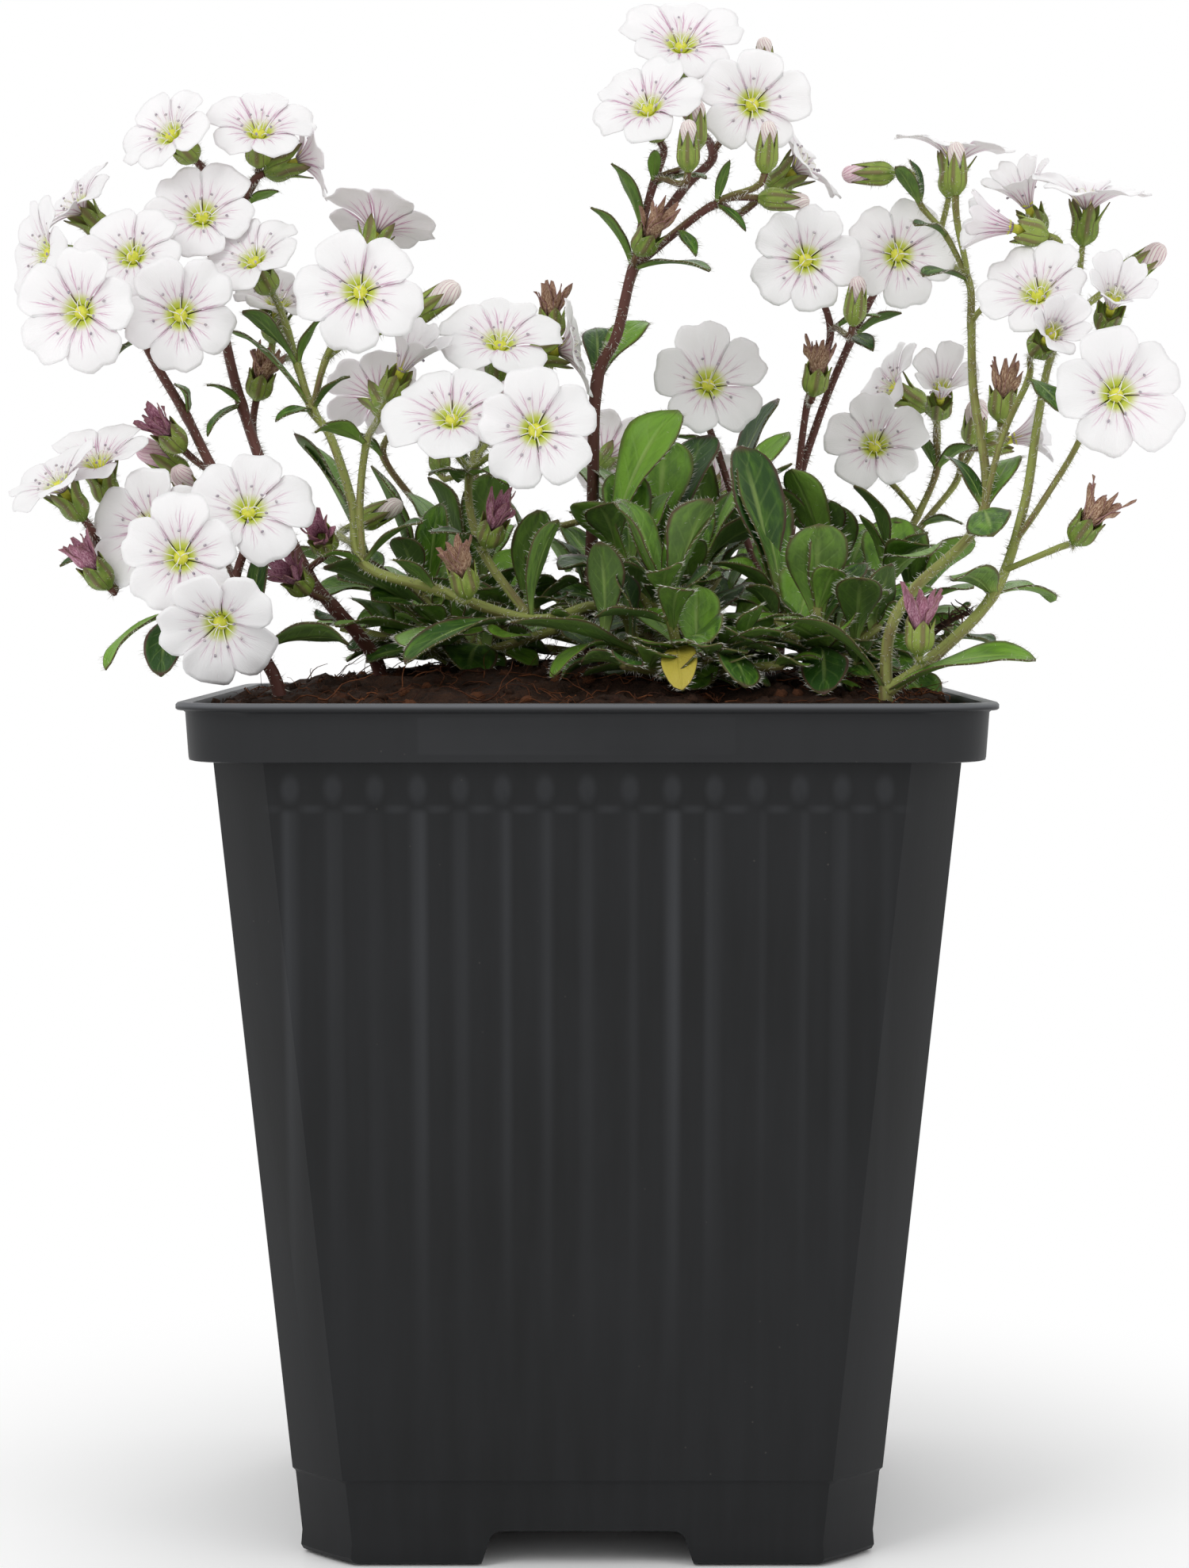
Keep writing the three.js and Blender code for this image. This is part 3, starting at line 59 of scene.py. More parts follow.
# Layout. A spray stands in the medium at its foot. A stem is its name, radius at foot and tip, and route.
# A head is its bloom number or 0, kind, stem, point on it, throat x, y, z, bearing, rise and size.
# A leaf is its stem, point on it, tip x, y, z, width and arch. Bearings are 0 to the front and 90 to +X.
# A tuft's shoot is its top x, y, z, its longest leaf and the turn of its leaf pairs. A tuft's own leaf is
# its shoot, share up it, tip x, y, z, width and arch, and in "more" also its shade of green, 0 to 1.
# What is listed as bracts, infill or more is small or low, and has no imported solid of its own.
sprays = [
    {
        "name": "left",
        "foot": [-25, -8],
        "stems": [
            ["high", 1.05, 0.5, [[-27.5, -12, 106.5], [-30, -15, 109.5], [-33, -16, 113.5],
                [-37.5, -11, 123], [-42, -2, 134], [-44.5, 4, 142], [-46, 9, 148.5],
                [-45.5, 12, 155.5], [-43, 13, 159.5]]],
            ["low", 0.8, 0.5, [[-33, -16, 113.5], [-42.5, -13, 123], [-48.5, -4, 132.5], [-54, 0, 142]]],
        ],
        "heads": [
            [1, "open", "high", 10, -50.5, 3, 166.5, -35, 30, 6],
            [2, "open", "high", 10, -40.5, 6, 167, 5, 45, 6.3],
            [2, "open", "high", 10, -36, 9, 164.5, 95, 20, 5.5],
            [4, "open", "low", 3, -54.5, -5, 151, -8, 28, 6.6],
            [3, "open", "low", 3, -63, 11, 158.5, -60, 40, 6],
            [8, "open", "low", 3, -65.5, 4, 152.5, -60, 10, 7.2],
            [5, "open", "high", 8, -47, 2, 156.5, 0, 25, 6.8],
            [6, "open", "low", 3, -59.5, -13, 144, -12, 5, 7],
            [7, "open", "high", 8, -48.5, -9, 144, 6, 2, 6.5],
            [0, "bud", "low", 1, -52, -3, 127.5, -80, 35, 5],
            [0, "spent", "low", 1, -51, -9, 131, -50, 40, 4],
            [0, "spent", "high", 5, -39.5, 0, 138.5, 30, 60, 4],
            [0, "spent", "high", 4, -31, -23, 118, -10, 25, 4],
            [0, "spent", "high", 3, -34.5, -23, 113.5, -30, 30, 4],
        ],
        "leaves": [
            ["high", 6, -45.5, -9, 130, 1.8, 0.6],
            ["low", 2, -50.5, -4, 136, 4.4, 0.8],
            ["low", 3, -57, -6, 139, 2.2, 0.6],
        ],
        "bracts": [
            ["high", 6, -45.5, -8, 136, 1.6, 0.6],
            ["low", 1, -44, -16, 126, 1.6, 0.5],
            ["high", 10, -38.5, 10, 161, 1.8, 0.4],
        ],
    },
    {
        "name": "lower_left",
        "foot": [-35.5, -26],
        "stems": [
            ["main", 0.95, 0.5, [[-38, -27, 104.5], [-43, -27, 107], [-47.5, -25, 109], [-51, -20, 111.5],
                [-54.5, -16, 114.5], [-57.5, -15, 116.5]]],
            ["up", 0.65, 0.5, [[-38, -27, 104.5], [-41, -20, 111.5]]],
        ],
        "heads": [
            [1, "open", "main", 7, -61, -20, 123, -50, 50, 6.2],
            [1, "open", "main", 6, -57.5, -14.5, 125.5, -20, 60, 6],
            [2, "open", "main", 5, -50.5, -18, 118.5, -20, 10, 7],
            [3, "open", "main", 4, -46, -31, 115, 3, 8, 6.6],
            [4, "open", "up", 1, -39, -25, 120, 8, 28, 6.9],
            [5, "open", "main", 3, -41, -35, 108, -10, -20, 6.9],
            [0, "bud", "up", 1, -48, -9, 124, -30, 50, 4.5],
            [0, "spent", "main", 7, -58, -22, 115, -60, 50, 4],
        ],
        "leaves": [
            ["main", 4, -54.5, -34, 103, 3.2, 1.2],
            ["main", 4, -48, -36, 104, 4.4, 1],
            ["main", 6, -59, -22, 113, 2.4, 0.6],
            ["main", 2, -27, -33, 106, 4.6, 1],
            ["up", 0, -36, -23, 116, 2.8, 0.8],
        ],
    },
    {
        "name": "centre",
        "foot": [5.5, -12],
        "stems": [
            ["main", 1.1, 0.5, [[4.5, -16, 108.5], [0.5, -20, 109.5], [-6.5, -25, 108],
                [-17.5, -25.5, 111.5], [-26, -23, 114.5], [-27.5, -18, 121.5], [-30.5, -11, 129.5],
                [-33, -7, 133], [-35, -4, 138.5], [-36.5, -1, 143]]],
            ["inner", 0.5, 0.45, [[-33, -7, 133], [-31.5, -6, 139]]],
            ["right", 0.6, 0.5, [[-26, -23, 114.5], [-26.5, -20, 121.5], [-26, -16, 128.5]]],
            ["up", 0.75, 0.55, [[-6.5, -25, 108], [-12.5, -19, 116.5], [-14, -14, 125]]],
        ],
        "heads": [
            [1, "open", "main", 11, -40, -3, 150.5, -28, 42, 6.6],
            [2, "open", "main", 10, -38.5, 7, 146, 20, 60, 5.6],
            [3, "open", "inner", 1, -26, 3, 155, 150, 60, 6.8],
            [4, "open", "inner", 1, -26.5, -17, 146, -3, 12, 7.2],
            [5, "cup", "right", 2, -22, -12, 137.5, 40, 50, 6.6],
            [6, "open", "up", 2, -10.5, -9, 140, 5, 50, 7],
            [7, "open", "up", 2, -3.5, 0, 140.5, 85, 12, 6],
            [8, "open", "up", 2, -15.5, -24, 130.5, -5, 38, 7.4],
            [9, "open", "up", 2, -6, -28, 129.5, 5, 5, 6.9],
            [0, "bud", "inner", 1, -18, -4, 146.5, 70, 30, 5],
            [0, "spent", "up", 2, -4.5, 6, 146.5, 0, 85, 4],
            [0, "bud", "main", 6, -24, -9, 121, 60, 20, 3.5],
            [0, "spent", "up", 1, -10.5, -23, 120, 30, 55, 4],
            [0, "spent", "main", 5, -14.5, -30, 114.5, -30, 65, 3.5],
        ],
        "leaves": [
            ["main", 4, -20.5, -36, 103.5, 5.6, 1.6],
            ["main", 4, -3.5, -28, 119.5, 3.4, 0.9],
            ["main", 6, -30.5, -27, 115.5, 2.2, 0.6],
            ["main", 6, -19, -28, 119.5, 2.6, 0.7],
            ["main", 5, -22, -31, 115, 2.2, 0.5],
            ["main", 9, -37, -12, 131.5, 2.2, 0.6],
            ["right", 2, -31.5, -22, 130, 2.8, 1],
            ["inner", 0, -28.5, -9, 137, 2.2, 0.6],
            ["main", 10, -41, -8, 145, 2.4, 0.6],
            ["main", 10, -31.5, -6, 144.5, 2.5, 0.7],
            ["main", 9, -41.5, 1, 142, 3, 0.7],
            ["up", 2, -18.5, -20, 125, 2, 0.5],
            ["up", 2, -9, -20, 124, 3.8, 1],
            ["up", 2, -15.5, -9, 124.5, 3.6, 0.8],
            ["up", 1, -18, -25, 118, 2.6, 0.8],
        ],
    },
    {
        "name": "tall",
        "foot": [0, 8],
        "stems": [
            ["middle", 1.05, 0.5, [[0.5, 5, 120], [1, 3, 136.5], [3.5, 1, 142.5], [5.5, 0, 150.5],
                [8.5, 3, 156], [12, 5, 161], [15.5, 8, 165.5]]],
            ["left", 0.55, 0.5, [[5.5, 0, 150.5], [6.5, 1, 155.5], [8, 1.5, 161]]],
            ["right", 0.55, 0.5, [[5.5, 0, 150.5], [11, -1, 155], [15.5, -2, 158]]],
        ],
        "heads": [
            [1, "open", "middle", 8, 11.5, 9, 178, 0, 40, 7],
            [2, "open", "left", 2, 7.5, -1, 169, -20, 38, 6.6],
            [3, "open", "middle", 8, 20, 3, 170.5, 3, 5, 6.8],
            [4, "open", "right", 2, 25.5, 6, 163, 75, 35, 6],
            [0, "bud", "middle", 8, 22, 13, 178.5, 0, 80, 3],
            [0, "bud", "left", 2, 13, -4, 168.5, 10, 80, 3],
            [0, "bud", "left", 2, 12, -8, 165.5, 0, 70, 3],
            [0, "bud", "right", 2, 21.5, -7, 165.5, 10, 70, 3],
            [0, "bud", "right", 2, 25, -1, 158.5, 85, -5, 3],
            [0, "spent", "middle", 5, 8, -5, 155, 40, 45, 4.6],
        ],
        "leaves": [
            ["middle", 5, 0.5, -4, 157.5, 3.6, 0.8],
            ["middle", 5, 14.5, -8, 149.5, 3.9, 1],
            ["left", 1, 3, -2, 163, 2.8, 0.8],
            ["middle", 3, 7, 8, 145, 4.8, 1],
            ["middle", 3, -2, 11, 143.5, 3.8, 0.8],
            ["left", 2, 13, -6, 161, 2.1, 0.5],
        ],
        "bracts": [
            ["left", 2, 8, -3, 164.5, 1.6, 0.4],
            ["right", 2, 17, -5, 163, 1.4, 0.3],
            ["right", 2, 19, -5, 154.5, 1.4, 0.4],
            ["right", 1, 13, -6, 151.5, 1.9, 0.5],
        ],
    },
    {
        "name": "centre_right",
        "foot": [24, 12],
        "stems": [
            ["main", 0.8, 0.5, [[26, 14, 122], [29, 14, 133], [33, 11, 143]]],
            ["inner", 0.55, 0.5, [[26, 14, 122], [27.5, 12, 135], [30, 7, 143.5]]],
            ["left", 0.6, 0.5, [[24, 12, 107], [20, 16, 118], [16.5, 19, 129]]],
        ],
        "heads": [
            [1, "open", "inner", 2, 26.5, 1, 151.5, -3, 0, 6.6],
            [2, "open", "main", 4, 38, 5, 152.5, 2, 3, 6.8],
            [3, "open", "left", 2, 15, 14, 137, 5, 15, 7.3],
            [0, "bud", "inner", 2, 32.5, -3, 147.5, 10, 65, 3],
            [0, "spent", "inner", 1, 28.5, 6, 139.5, 20, 65, 4.4],
        ],
        "leaves": [
            ["inner", 2, 35.5, 2, 145, 3, 0.7],
            ["main", 4, 39, 10, 146, 2.2, 0.5],
            ["main", 4, 35, 4, 141, 2.6, 0.6],
            ["left", 2, 10.5, 18, 131, 2.6, 0.6],
        ],
    },
    {
        "name": "right",
        "foot": [33.5, -35],
        "stems": [
            ["inner", 1.3, 0.5, [[34, -33.5, 106.5], [37, -31, 111.5], [45.5, -25, 120.5],
                [45.5, -13, 135.5], [46, -6, 143.5], [46, -2, 149]]],
            ["outer", 1.2, 0.5, [[33.5, -35, 100], [38.5, -34, 103.5], [46, -31, 111], [50, -26, 121],
                [52.5, -18, 131], [55, -10, 139]]],
            ["innerLeft", 0.5, 0.45, [[46, -2, 149], [43.5, 0, 154.5], [40.5, 2, 158.5]]],
            ["innerRight", 0.55, 0.5, [[45.5, -25, 120.5], [48, -21, 129], [51.5, -17, 136]]],
            ["outerRight", 0.55, 0.45, [[48, -28.5, 116], [52, -27, 121.5], [57.5, -21, 130]]],
            ["outerLow", 0.5, 0.45, [[47, -30, 113.5], [54, -32, 116.5]]],
        ],
        "heads": [
            [1, "open", "inner", 7, 45.5, 10, 164.5, 60, 80, 7],
            [2, "cup", "inner", 6, 50, -13, 154, -85, 12, 6.2],
            [3, "open", "outer", 5, 60.5, -1, 157.5, 20, 75, 7.4],
            [3, "cup", "outer", 5, 54, 4.5, 158.5, -45, 55, 6],
            [4, "open", "outer", 5, 53, -15, 145.5, -25, 35, 6.8],
            [5, "cup", "outerRight", 2, 61, -18.5, 144.5, 5, 35, 6.2],
            [6, "cup", "innerRight", 2, 53, -24, 140.5, 15, 20, 5.6],
            [7, "open", "outerRight", 2, 60, -28, 133.5, 5, 5, 7.7],
            [0, "bud", "inner", 7, 44.5, -2, 163.5, 0, 80, 3.2],
            [0, "bud", "innerLeft", 2, 33, 1, 162, -95, 0, 3.4],
            [0, "bud", "outer", 5, 68, 1, 151.5, 70, 35, 4.6],
            [0, "spent", "innerRight", 1, 49, -14, 135.5, 10, 75, 4.4],
            [0, "spent", "outerLow", 1, 57, -34, 120, 50, 50, 4.8],
            [0, "spent", "outer", 1, 37, -38.5, 108.5, 5, 80, 4.6],
        ],
        "leaves": [
            ["outer", 0, 21, -38, 108.5, 5.2, 2.2],
            ["outer", 0, 49.5, -41, 104, 5.8, 1.6],
            ["inner", 4, 45.5, -34.5, 117.5, 5.4, 0.8],
            ["inner", 4, 51, -18, 127, 3.8, 0.8],
            ["inner", 4, 42, -20, 127, 3, 0.7],
            ["outer", 2, 41, -38, 113, 5.4, 1],
            ["outer", 2, 53.5, -24, 110.5, 4.6, 1],
            ["inner", 7, 39.5, -13, 148.5, 2.2, 0.8],
            ["innerRight", 2, 54.5, -25, 132, 3.2, 0.7],
            ["innerLeft", 2, 37, -4, 162.5, 2, 0.4],
            ["innerLeft", 2, 39.5, 3, 164, 2.2, 0.5],
            ["innerLeft", 1, 39, -8, 155, 2, 0.5],
        ],
    },
    {
        "name": "right_back",
        "foot": [32.5, 22],
        "stems": [
            ["main", 0.85, 0.5, [[37.5, 24, 112], [42.5, 25, 121], [45, 25, 127]]],
            ["right", 0.6, 0.5, [[37.5, 24, 112], [43.5, 28, 120], [48, 30, 125.5]]],
        ],
        "heads": [
            [1, "cup", "main", 4, 44.5, 15, 136, 0, 35, 6.4],
            [2, "open", "main", 3, 36.5, 19, 129.5, -5, 20, 6.4],
            [3, "open", "main", 4, 40, 25, 137, -75, 30, 6],
            [4, "cup", "right", 2, 55, 27, 131, 80, 15, 5.4],
            [0, "bud", "right", 2, 50, 25, 133.5, 0, 45, 5],
        ],
        "leaves": [
            ["main", 4, 41.5, 21, 132, 2, 0.5],
            ["main", 4, 49, 20, 130, 2.4, 0.6],
            ["right", 1, 48, 22, 120, 2.8, 0.7],
        ],
    },
    {
        "name": "back",
        "foot": [-15, 24],
        "stems": [
            ["main", 0.9, 0.55, [[-15, 30, 113], [-15, 34, 121], [-15, 36, 127]]],
            ["left", 0.6, 0.5, [[-15, 30, 113], [-22, 34, 122], [-27, 34, 129]]],
            ["right", 0.6, 0.5, [[-15, 30, 113], [-6, 34, 119], [3, 36, 122]]],
        ],
        "heads": [
            [1, "open", "main", 4, -13, 42, 136, 175, 30, 6.6],
            [2, "open", "left", 2, -28, 40, 137, -155, 35, 6.4],
            [3, "open", "right", 2, 2, 43, 129, 165, 20, 6.6],
            [4, "open", "right", 2, 17, 41, 124.5, 150, 40, 6.2],
            [0, "bud", "main", 4, -20, 40, 130.5, -170, 60, 3.2],
        ],
        "leaves": [
            ["main", 2, -8, 38, 110, 4.8, 1.2],
            ["main", 2, -25, 38, 109, 4.8, 1.2],
            ["main", 4, -20, 31, 131, 2.4, 0.6],
            ["left", 2, -32, 30, 132, 2.6, 0.6],
            ["right", 2, 6, 33, 128, 2.6, 0.6],
            ["right", 1, -3, 42, 114, 3.4, 0.8],
        ],
    },
]

tufts = [
    {
        "name": "front",
        "foot": [11, -25],
        "shoots": [[8.5, -28.5, 111, 10, 20], [18, -31, 105.5, 9, 55], [0.5, -26, 106.5, 9, 5]],
        "leaves": [
            [0, 0.9, 3.5, -31, 121.5, 5.8, 0.4],
            [0, 0.8, 13.5, -29, 122, 6, 0.4],
            [0, 0.6, 10.5, -37.5, 112, 3.8, 1],
            [2, 0.8, -4, -34, 102, 3.8, 1.4],
            [2, 0.9, 1.5, -26.5, 117, 5.4, 0.5],
            [1, 0.6, 17.5, -40, 100.8, 5, 1.6],
            [0, 0.4, 10.5, -40, 100.8, 4.2, 1.6],
        ],
        "infill": [[4, -33, 103, 8, 30], [14, -34, 104, 8, 70], [22, -33, 103, 8, 10]],
        "more": [
            [0, 0.9, 13, -24, 122, 6.6, 0.6, 0.5],
            [0, 0.85, 4.5, -22, 122, 6.2, 0.4, 0.7],
            [2, 0.6, -8.5, -37, 108, 5.4, 0.8, 0.3],
            [1, 0.7, 22, -38, 107, 5.2, 0.8, 0.6],
        ],
    },
    {
        "name": "front_right",
        "foot": [27, -21],
        "shoots": [[26.5, -24, 109.5, 10, 35], [21, -13, 113, 11, 70], [34, -22, 107.5, 9, 10]],
        "leaves": [
            [0, 0.8, 26.5, -26.5, 119, 7.4, 0.5],
            [1, 0.9, 18, -12, 128.5, 9.6, 0.9],
            [2, 0.9, 35, -24, 114.5, 6.6, 0.6],
            [0, 0.5, 26.5, -37.5, 102.5, 5.2, 1.6],
            [2, 0.7, 31, -31, 113, 5.2, 0.8],
        ],
        "infill": [[31, -27, 103, 8, 50], [22, -20, 108, 10, 20], [30, -14, 108, 10, 80]],
        "more": [
            [0, 0.9, 27.5, -24, 118.5, 6, 0.4, 0.5],
            [2, 0.5, 22, -37, 108, 5.4, 0.8, 0.9],
            [1, 0.8, 18.5, -10, 127, 9.6, 0.8, 0.4],
            [2, 0.8, 40, -18, 112, 5.6, 0.8, 0.5],
        ],
    },
    {
        "name": "middle",
        "foot": [10, -3],
        "shoots": [[3, -6, 117, 12, 25], [14.5, -3, 116, 12, 60], [9, 3.5, 117, 12, 0]],
        "leaves": [
            [0, 1, 10.5, -2, 133.5, 7.4, 1.2],
            [2, 1, 9.5, 8.5, 130, 8, 1],
            [0, 0.8, -1.5, -9, 122, 5.6, 0.6],
            [2, 0.9, 15, 11, 131, 7.6, 1],
        ],
        "infill": [[8, -12, 110, 11, 40], [16, 4, 113, 12, 10], [-1, 1, 112, 11, 60]],
        "more": [
            [1, 0.9, 24, 0, 131, 7, 0.6, 0.8],
            [1, 0.8, 24, -7, 127, 4.6, 0.8, 0.3],
            [0, 0.8, 4, -1, 126, 6, 0.6, 0.5],
            [2, 0.8, 1, 6, 127, 6.4, 0.6, 0.7],
            [1, 0.7, 21, 3, 124, 6.2, 0.6, 0.4],
        ],
    },
    {
        "name": "left",
        "foot": [-15, -3],
        "shoots": [[-21, -4, 112, 12, 50], [-6, -9, 109.5, 11, 15], [-27, 5, 112, 12, 80],
            [-13, 9, 113.5, 12, 30], [-16.5, -12.5, 107, 9.5, 50]],
        "leaves": [
            [2, 0.9, -35.5, 4, 131, 6.6, 0.8],
            [0, 0.9, -24.5, -7, 125, 4.8, 0.8],
            [3, 0.7, -19, 3, 125.5, 5.8, 0.6],
            [1, 0.9, -6, -12.5, 121, 5.6, 0.6],
        ],
        "infill": [[-10, -2, 110, 11, 60], [-20, -14, 105, 9, 20], [-30, -3, 107, 9, 30],
            [-22, 10, 109, 10, 10], [-3, -16, 107, 9, 45]],
        "more": [
            [2, 0.9, -34.5, 5, 130, 7.2, 0.6, 0.8],
            [0, 0.9, -26, -4, 126.5, 6.6, 0.6, 0.3],
            [0, 0.8, -18, -2, 122, 5.6, 0.6, 0.5],
            [4, 0.8, -20, -33, 105, 6, 1.4, 0.8],
            [4, 0.6, -29, -24, 108, 5.2, 0.8, 0.8],
            [0, 0.5, -31, -12, 115, 5.6, 0.8, 0.2],
            [3, 0.9, -12, 4, 126, 6.6, 0.6, 0.4],
            [1, 0.9, -9, -8, 122, 6.2, 0.8, 0.3],
            [2, 0.6, -36, 0, 117, 6, 0.8, 0.5],
            [3, 0.7, -22, 12, 124, 6.6, 0.6, 0.6],
        ],
    },
    {
        "name": "right",
        "foot": [35, 2],
        "shoots": [[28.5, -1, 116, 12, 40], [36, -5, 114.5, 12, 75], [41, 6, 110.5, 11, 10]],
        "leaves": [
            [1, 0.8, 40, -18, 116, 6.4, 1.4],
            [0, 0.9, 24.5, -7, 126, 5.6, 0.6],
            [1, 1, 32, -7, 124, 5, 1.4],
            [2, 0.9, 47, 1, 118, 5.2, 0.8],
        ],
        "infill": [[36, -12, 107, 9, 30], [44, -4, 106, 9, 60], [34, 10, 110, 10, 20]],
        "more": [
            [1, 0.9, 40, -12, 117, 6.4, 1, 0.6],
            [0, 0.8, 30, -3, 122, 6, 0.6, 0.4],
            [2, 0.8, 47, 0, 112, 6, 0.8, 0.7],
            [0, 0.9, 22, -2, 124, 6, 0.6, 0.5],
            [2, 0.9, 38, 2, 120, 6, 0.6, 0.5],
        ],
    },
    {
        "name": "back",
        "foot": [9, 24],
        "shoots": [[17, 22, 118, 12, 65], [5, 19, 116.5, 12, 20], [19, 32, 110.5, 12, 35],
            [3, 30, 109.5, 11, 75]],
        "leaves": [
            [0, 1, 24, 20.5, 136, 8.4, 1],
            [0, 1, 19, 14, 132, 6, 0.8],
        ],
        "infill": [[12, 30, 112, 11, 20], [26, 28, 110, 10, 50], [-4, 26, 110, 10, 40],
            [-14, 20, 108, 10, 70], [-24, 20, 106, 9, 30]],
        "more": [
            [0, 0.9, 12, 18, 130, 7, 0.8, 0.5],
            [1, 0.9, -2, 16, 128, 6.6, 0.8, 0.6],
            [2, 0.9, 26, 36, 122, 6.6, 0.8, 0.5],
            [3, 0.9, -4, 36, 121, 6.4, 0.8, 0.4],
            [0, 0.8, 27, 26, 124, 6.4, 0.8, 0.7],
        ],
    },
]

# Curves and small sums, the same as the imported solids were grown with

def chance(a, b):  # repeatable value from 0 to 1
    value = math.sin(a * 12.9898 + b * 78.233) * 43758.5453
    return value - math.floor(value)


def unit(v):
    return v / np.maximum(np.linalg.norm(v, axis=-1, keepdims=True), 1e-9)


def aim(bearing, rise):
    b, r = math.radians(bearing), math.radians(rise)
    return np.array([math.sin(b) * math.cos(r), -math.cos(b) * math.cos(r), math.sin(r)])


def levelSide(bearing):
    b = math.radians(bearing)
    return np.array([math.cos(b), math.sin(b), 0.0])


def turned(v, axis, angle):  # v turned about a unit axis, in degrees
    a = math.radians(angle)
    return v * math.cos(a) + np.cross(axis, v) * math.sin(a) + axis * (axis @ v) * (1 - math.cos(a))


def ease(value, low, high):  # 0 below low, 1 above high, smooth between
    share = np.clip((value - low) / (high - low), 0, 1)
    return share * share * (3 - 2 * share)


def throughPoints(points):  # smooth curve through points, read at shares from 0 to 1
    p = np.array(points, float)
    p = np.vstack([2 * p[0] - p[1], p, 2 * p[-1] - p[-2]])

    def read(share):
        place = np.clip(np.asarray(share, float), 0, 1) * (len(p) - 3)
        i = np.minimum(place.astype(int), len(p) - 4)
        t = (place - i)[..., None]
        a, b, c, d = p[i], p[i + 1], p[i + 2], p[i + 3]
        first, last = 0.5 * (c - a), 0.5 * (d - b)
        return b + t * first + t**2 * (3 * (c - b) - 2 * first - last) + t**3 * (2 * (b - c) + first + last)

    return read


def pedicelCurve(start, base, facing):
    span = np.linalg.norm(base - start)
    away = unit(unit(base - start) + [0, 0, 0.5])
    a, b, c, d = start, start + away * 0.35 * span, base - facing * 0.4 * span, base

    def read(share):
        t = np.asarray(share, float)[..., None]
        return a * (1 - t)**3 + 3 * b * t * (1 - t)**2 + 3 * c * t**2 * (1 - t) + d * t**3

    return read


soil = {"edge": 98, "mound": 4.2, "reach": 43, "rootDepth": 6, "half": 43.1, "grid": 120,
        "crumbs": 900, "fibres": 480, "shreds": 26, "corner": 8.0,
        "ball": ((94.4, 0.995), (91.4, 0.925), (5.9, 0.745)),  # heights and widths down the root ball
        "scrap": [[36, -12, 99.5], [38.5, -13, 103.5], [41.5, -14, 107], [45.5, -14.5, 109]]}


def soilTop(x, y):
    out = ((np.asarray(x) / soil["reach"])**4 + (np.asarray(y) / soil["reach"])**4)**0.25
    return soil["edge"] + soil["mound"] * (1 - np.minimum(1, out)**2)


# Meshes

class Shape:  # one piece in the making: points, a mark for each point, and faces with their finishes

    def __init__(self):
        self.points, self.marks, self.faces, self.finishes = [], [], [], []
        self.count = 0

    def add(self, points, marks, faces, finish):
        points = np.reshape(points, (-1, 3))
        self.points.append(points)
        self.marks.append(np.reshape(np.broadcast_to(marks, (*np.shape(marks)[:-1], 3)), (-1, 3))
                          if np.size(marks) == points.size else np.broadcast_to(marks, points.shape))
        for block in faces:
            self.faces.append(np.asarray(block) + self.count)
            self.finishes.append(np.full(len(block), finish))
        self.count += len(points)

    def make(self, name, materials, node, sharp=None):
        mesh = bpy.data.meshes.new(name)
        points = np.concatenate(self.points) * 0.001
        mesh.vertices.add(len(points))
        mesh.vertices.foreach_set("co", points.ravel())
        corners = np.concatenate([block.ravel() for block in self.faces])
        sizes = np.concatenate([np.full(len(block), block.shape[1]) for block in self.faces])
        mesh.loops.add(len(corners))
        mesh.loops.foreach_set("vertex_index", corners)
        mesh.polygons.add(len(sizes))
        mesh.polygons.foreach_set("loop_start", np.concatenate([[0], np.cumsum(sizes)[:-1]]))
        mesh.polygons.foreach_set("material_index", np.concatenate(self.finishes))
        mesh.polygons.foreach_set("use_smooth", np.ones(len(sizes), bool))
        mesh.update()
        marks = mesh.attributes.new("mark", "FLOAT_VECTOR", "POINT")
        marks.data.foreach_set("vector", np.concatenate(self.marks).ravel())
        for material in materials:
            mesh.materials.append(material)
        if sharp:
            mesh.set_sharp_from_angle(angle=math.radians(sharp))
        piece = bpy.data.objects.new(name, mesh)
        bpy.context.scene.collection.objects.link(piece)
        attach(piece, "root")
        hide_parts(node)
        return piece


def gridFaces(rows, columns, closed=False):  # quads of a grid whose normals are along x across
    r, c = np.meshgrid(np.arange(rows - 1), np.arange(columns if closed else columns - 1), indexing="ij")
    r, c = r.ravel(), c.ravel()
    d = (c + 1) % columns
    return np.stack([r * columns + c, (r + 1) * columns + c, (r + 1) * columns + d, r * columns + d], 1)


def rimIndices(index):  # once round the outside of a grid
    return np.concatenate([index[:, 0], index[-1, 1:], index[-2::-1, -1], index[0, -2:0:-1]])


def gridNormals(grid):
    along = np.gradient(grid, axis=0)
    across = np.gradient(grid, axis=1)
    return unit(np.cross(along, across))


def addSheet(shape, grid, marks, thickness, finish):  # closed thin sheet; its underside has mark z + 1
    rows, columns = grid.shape[:2]
    half = 0.5 * np.broadcast_to(thickness, grid.shape[:2])[..., None] * gridNormals(grid)
    size = rows * columns
    under = marks + np.array([0, 0, 1])
    rim = rimIndices(np.arange(size).reshape(rows, columns))
    after = np.roll(rim, -1)
    faces = gridFaces(rows, columns)
    shape.add(np.concatenate([(grid + half).reshape(-1, 3), (grid - half).reshape(-1, 3)]),
              np.concatenate([marks.reshape(-1, 3), under.reshape(-1, 3)]),
              [faces, faces[:, ::-1] + size, np.stack([rim + size, after + size, after, rim], 1)], finish)


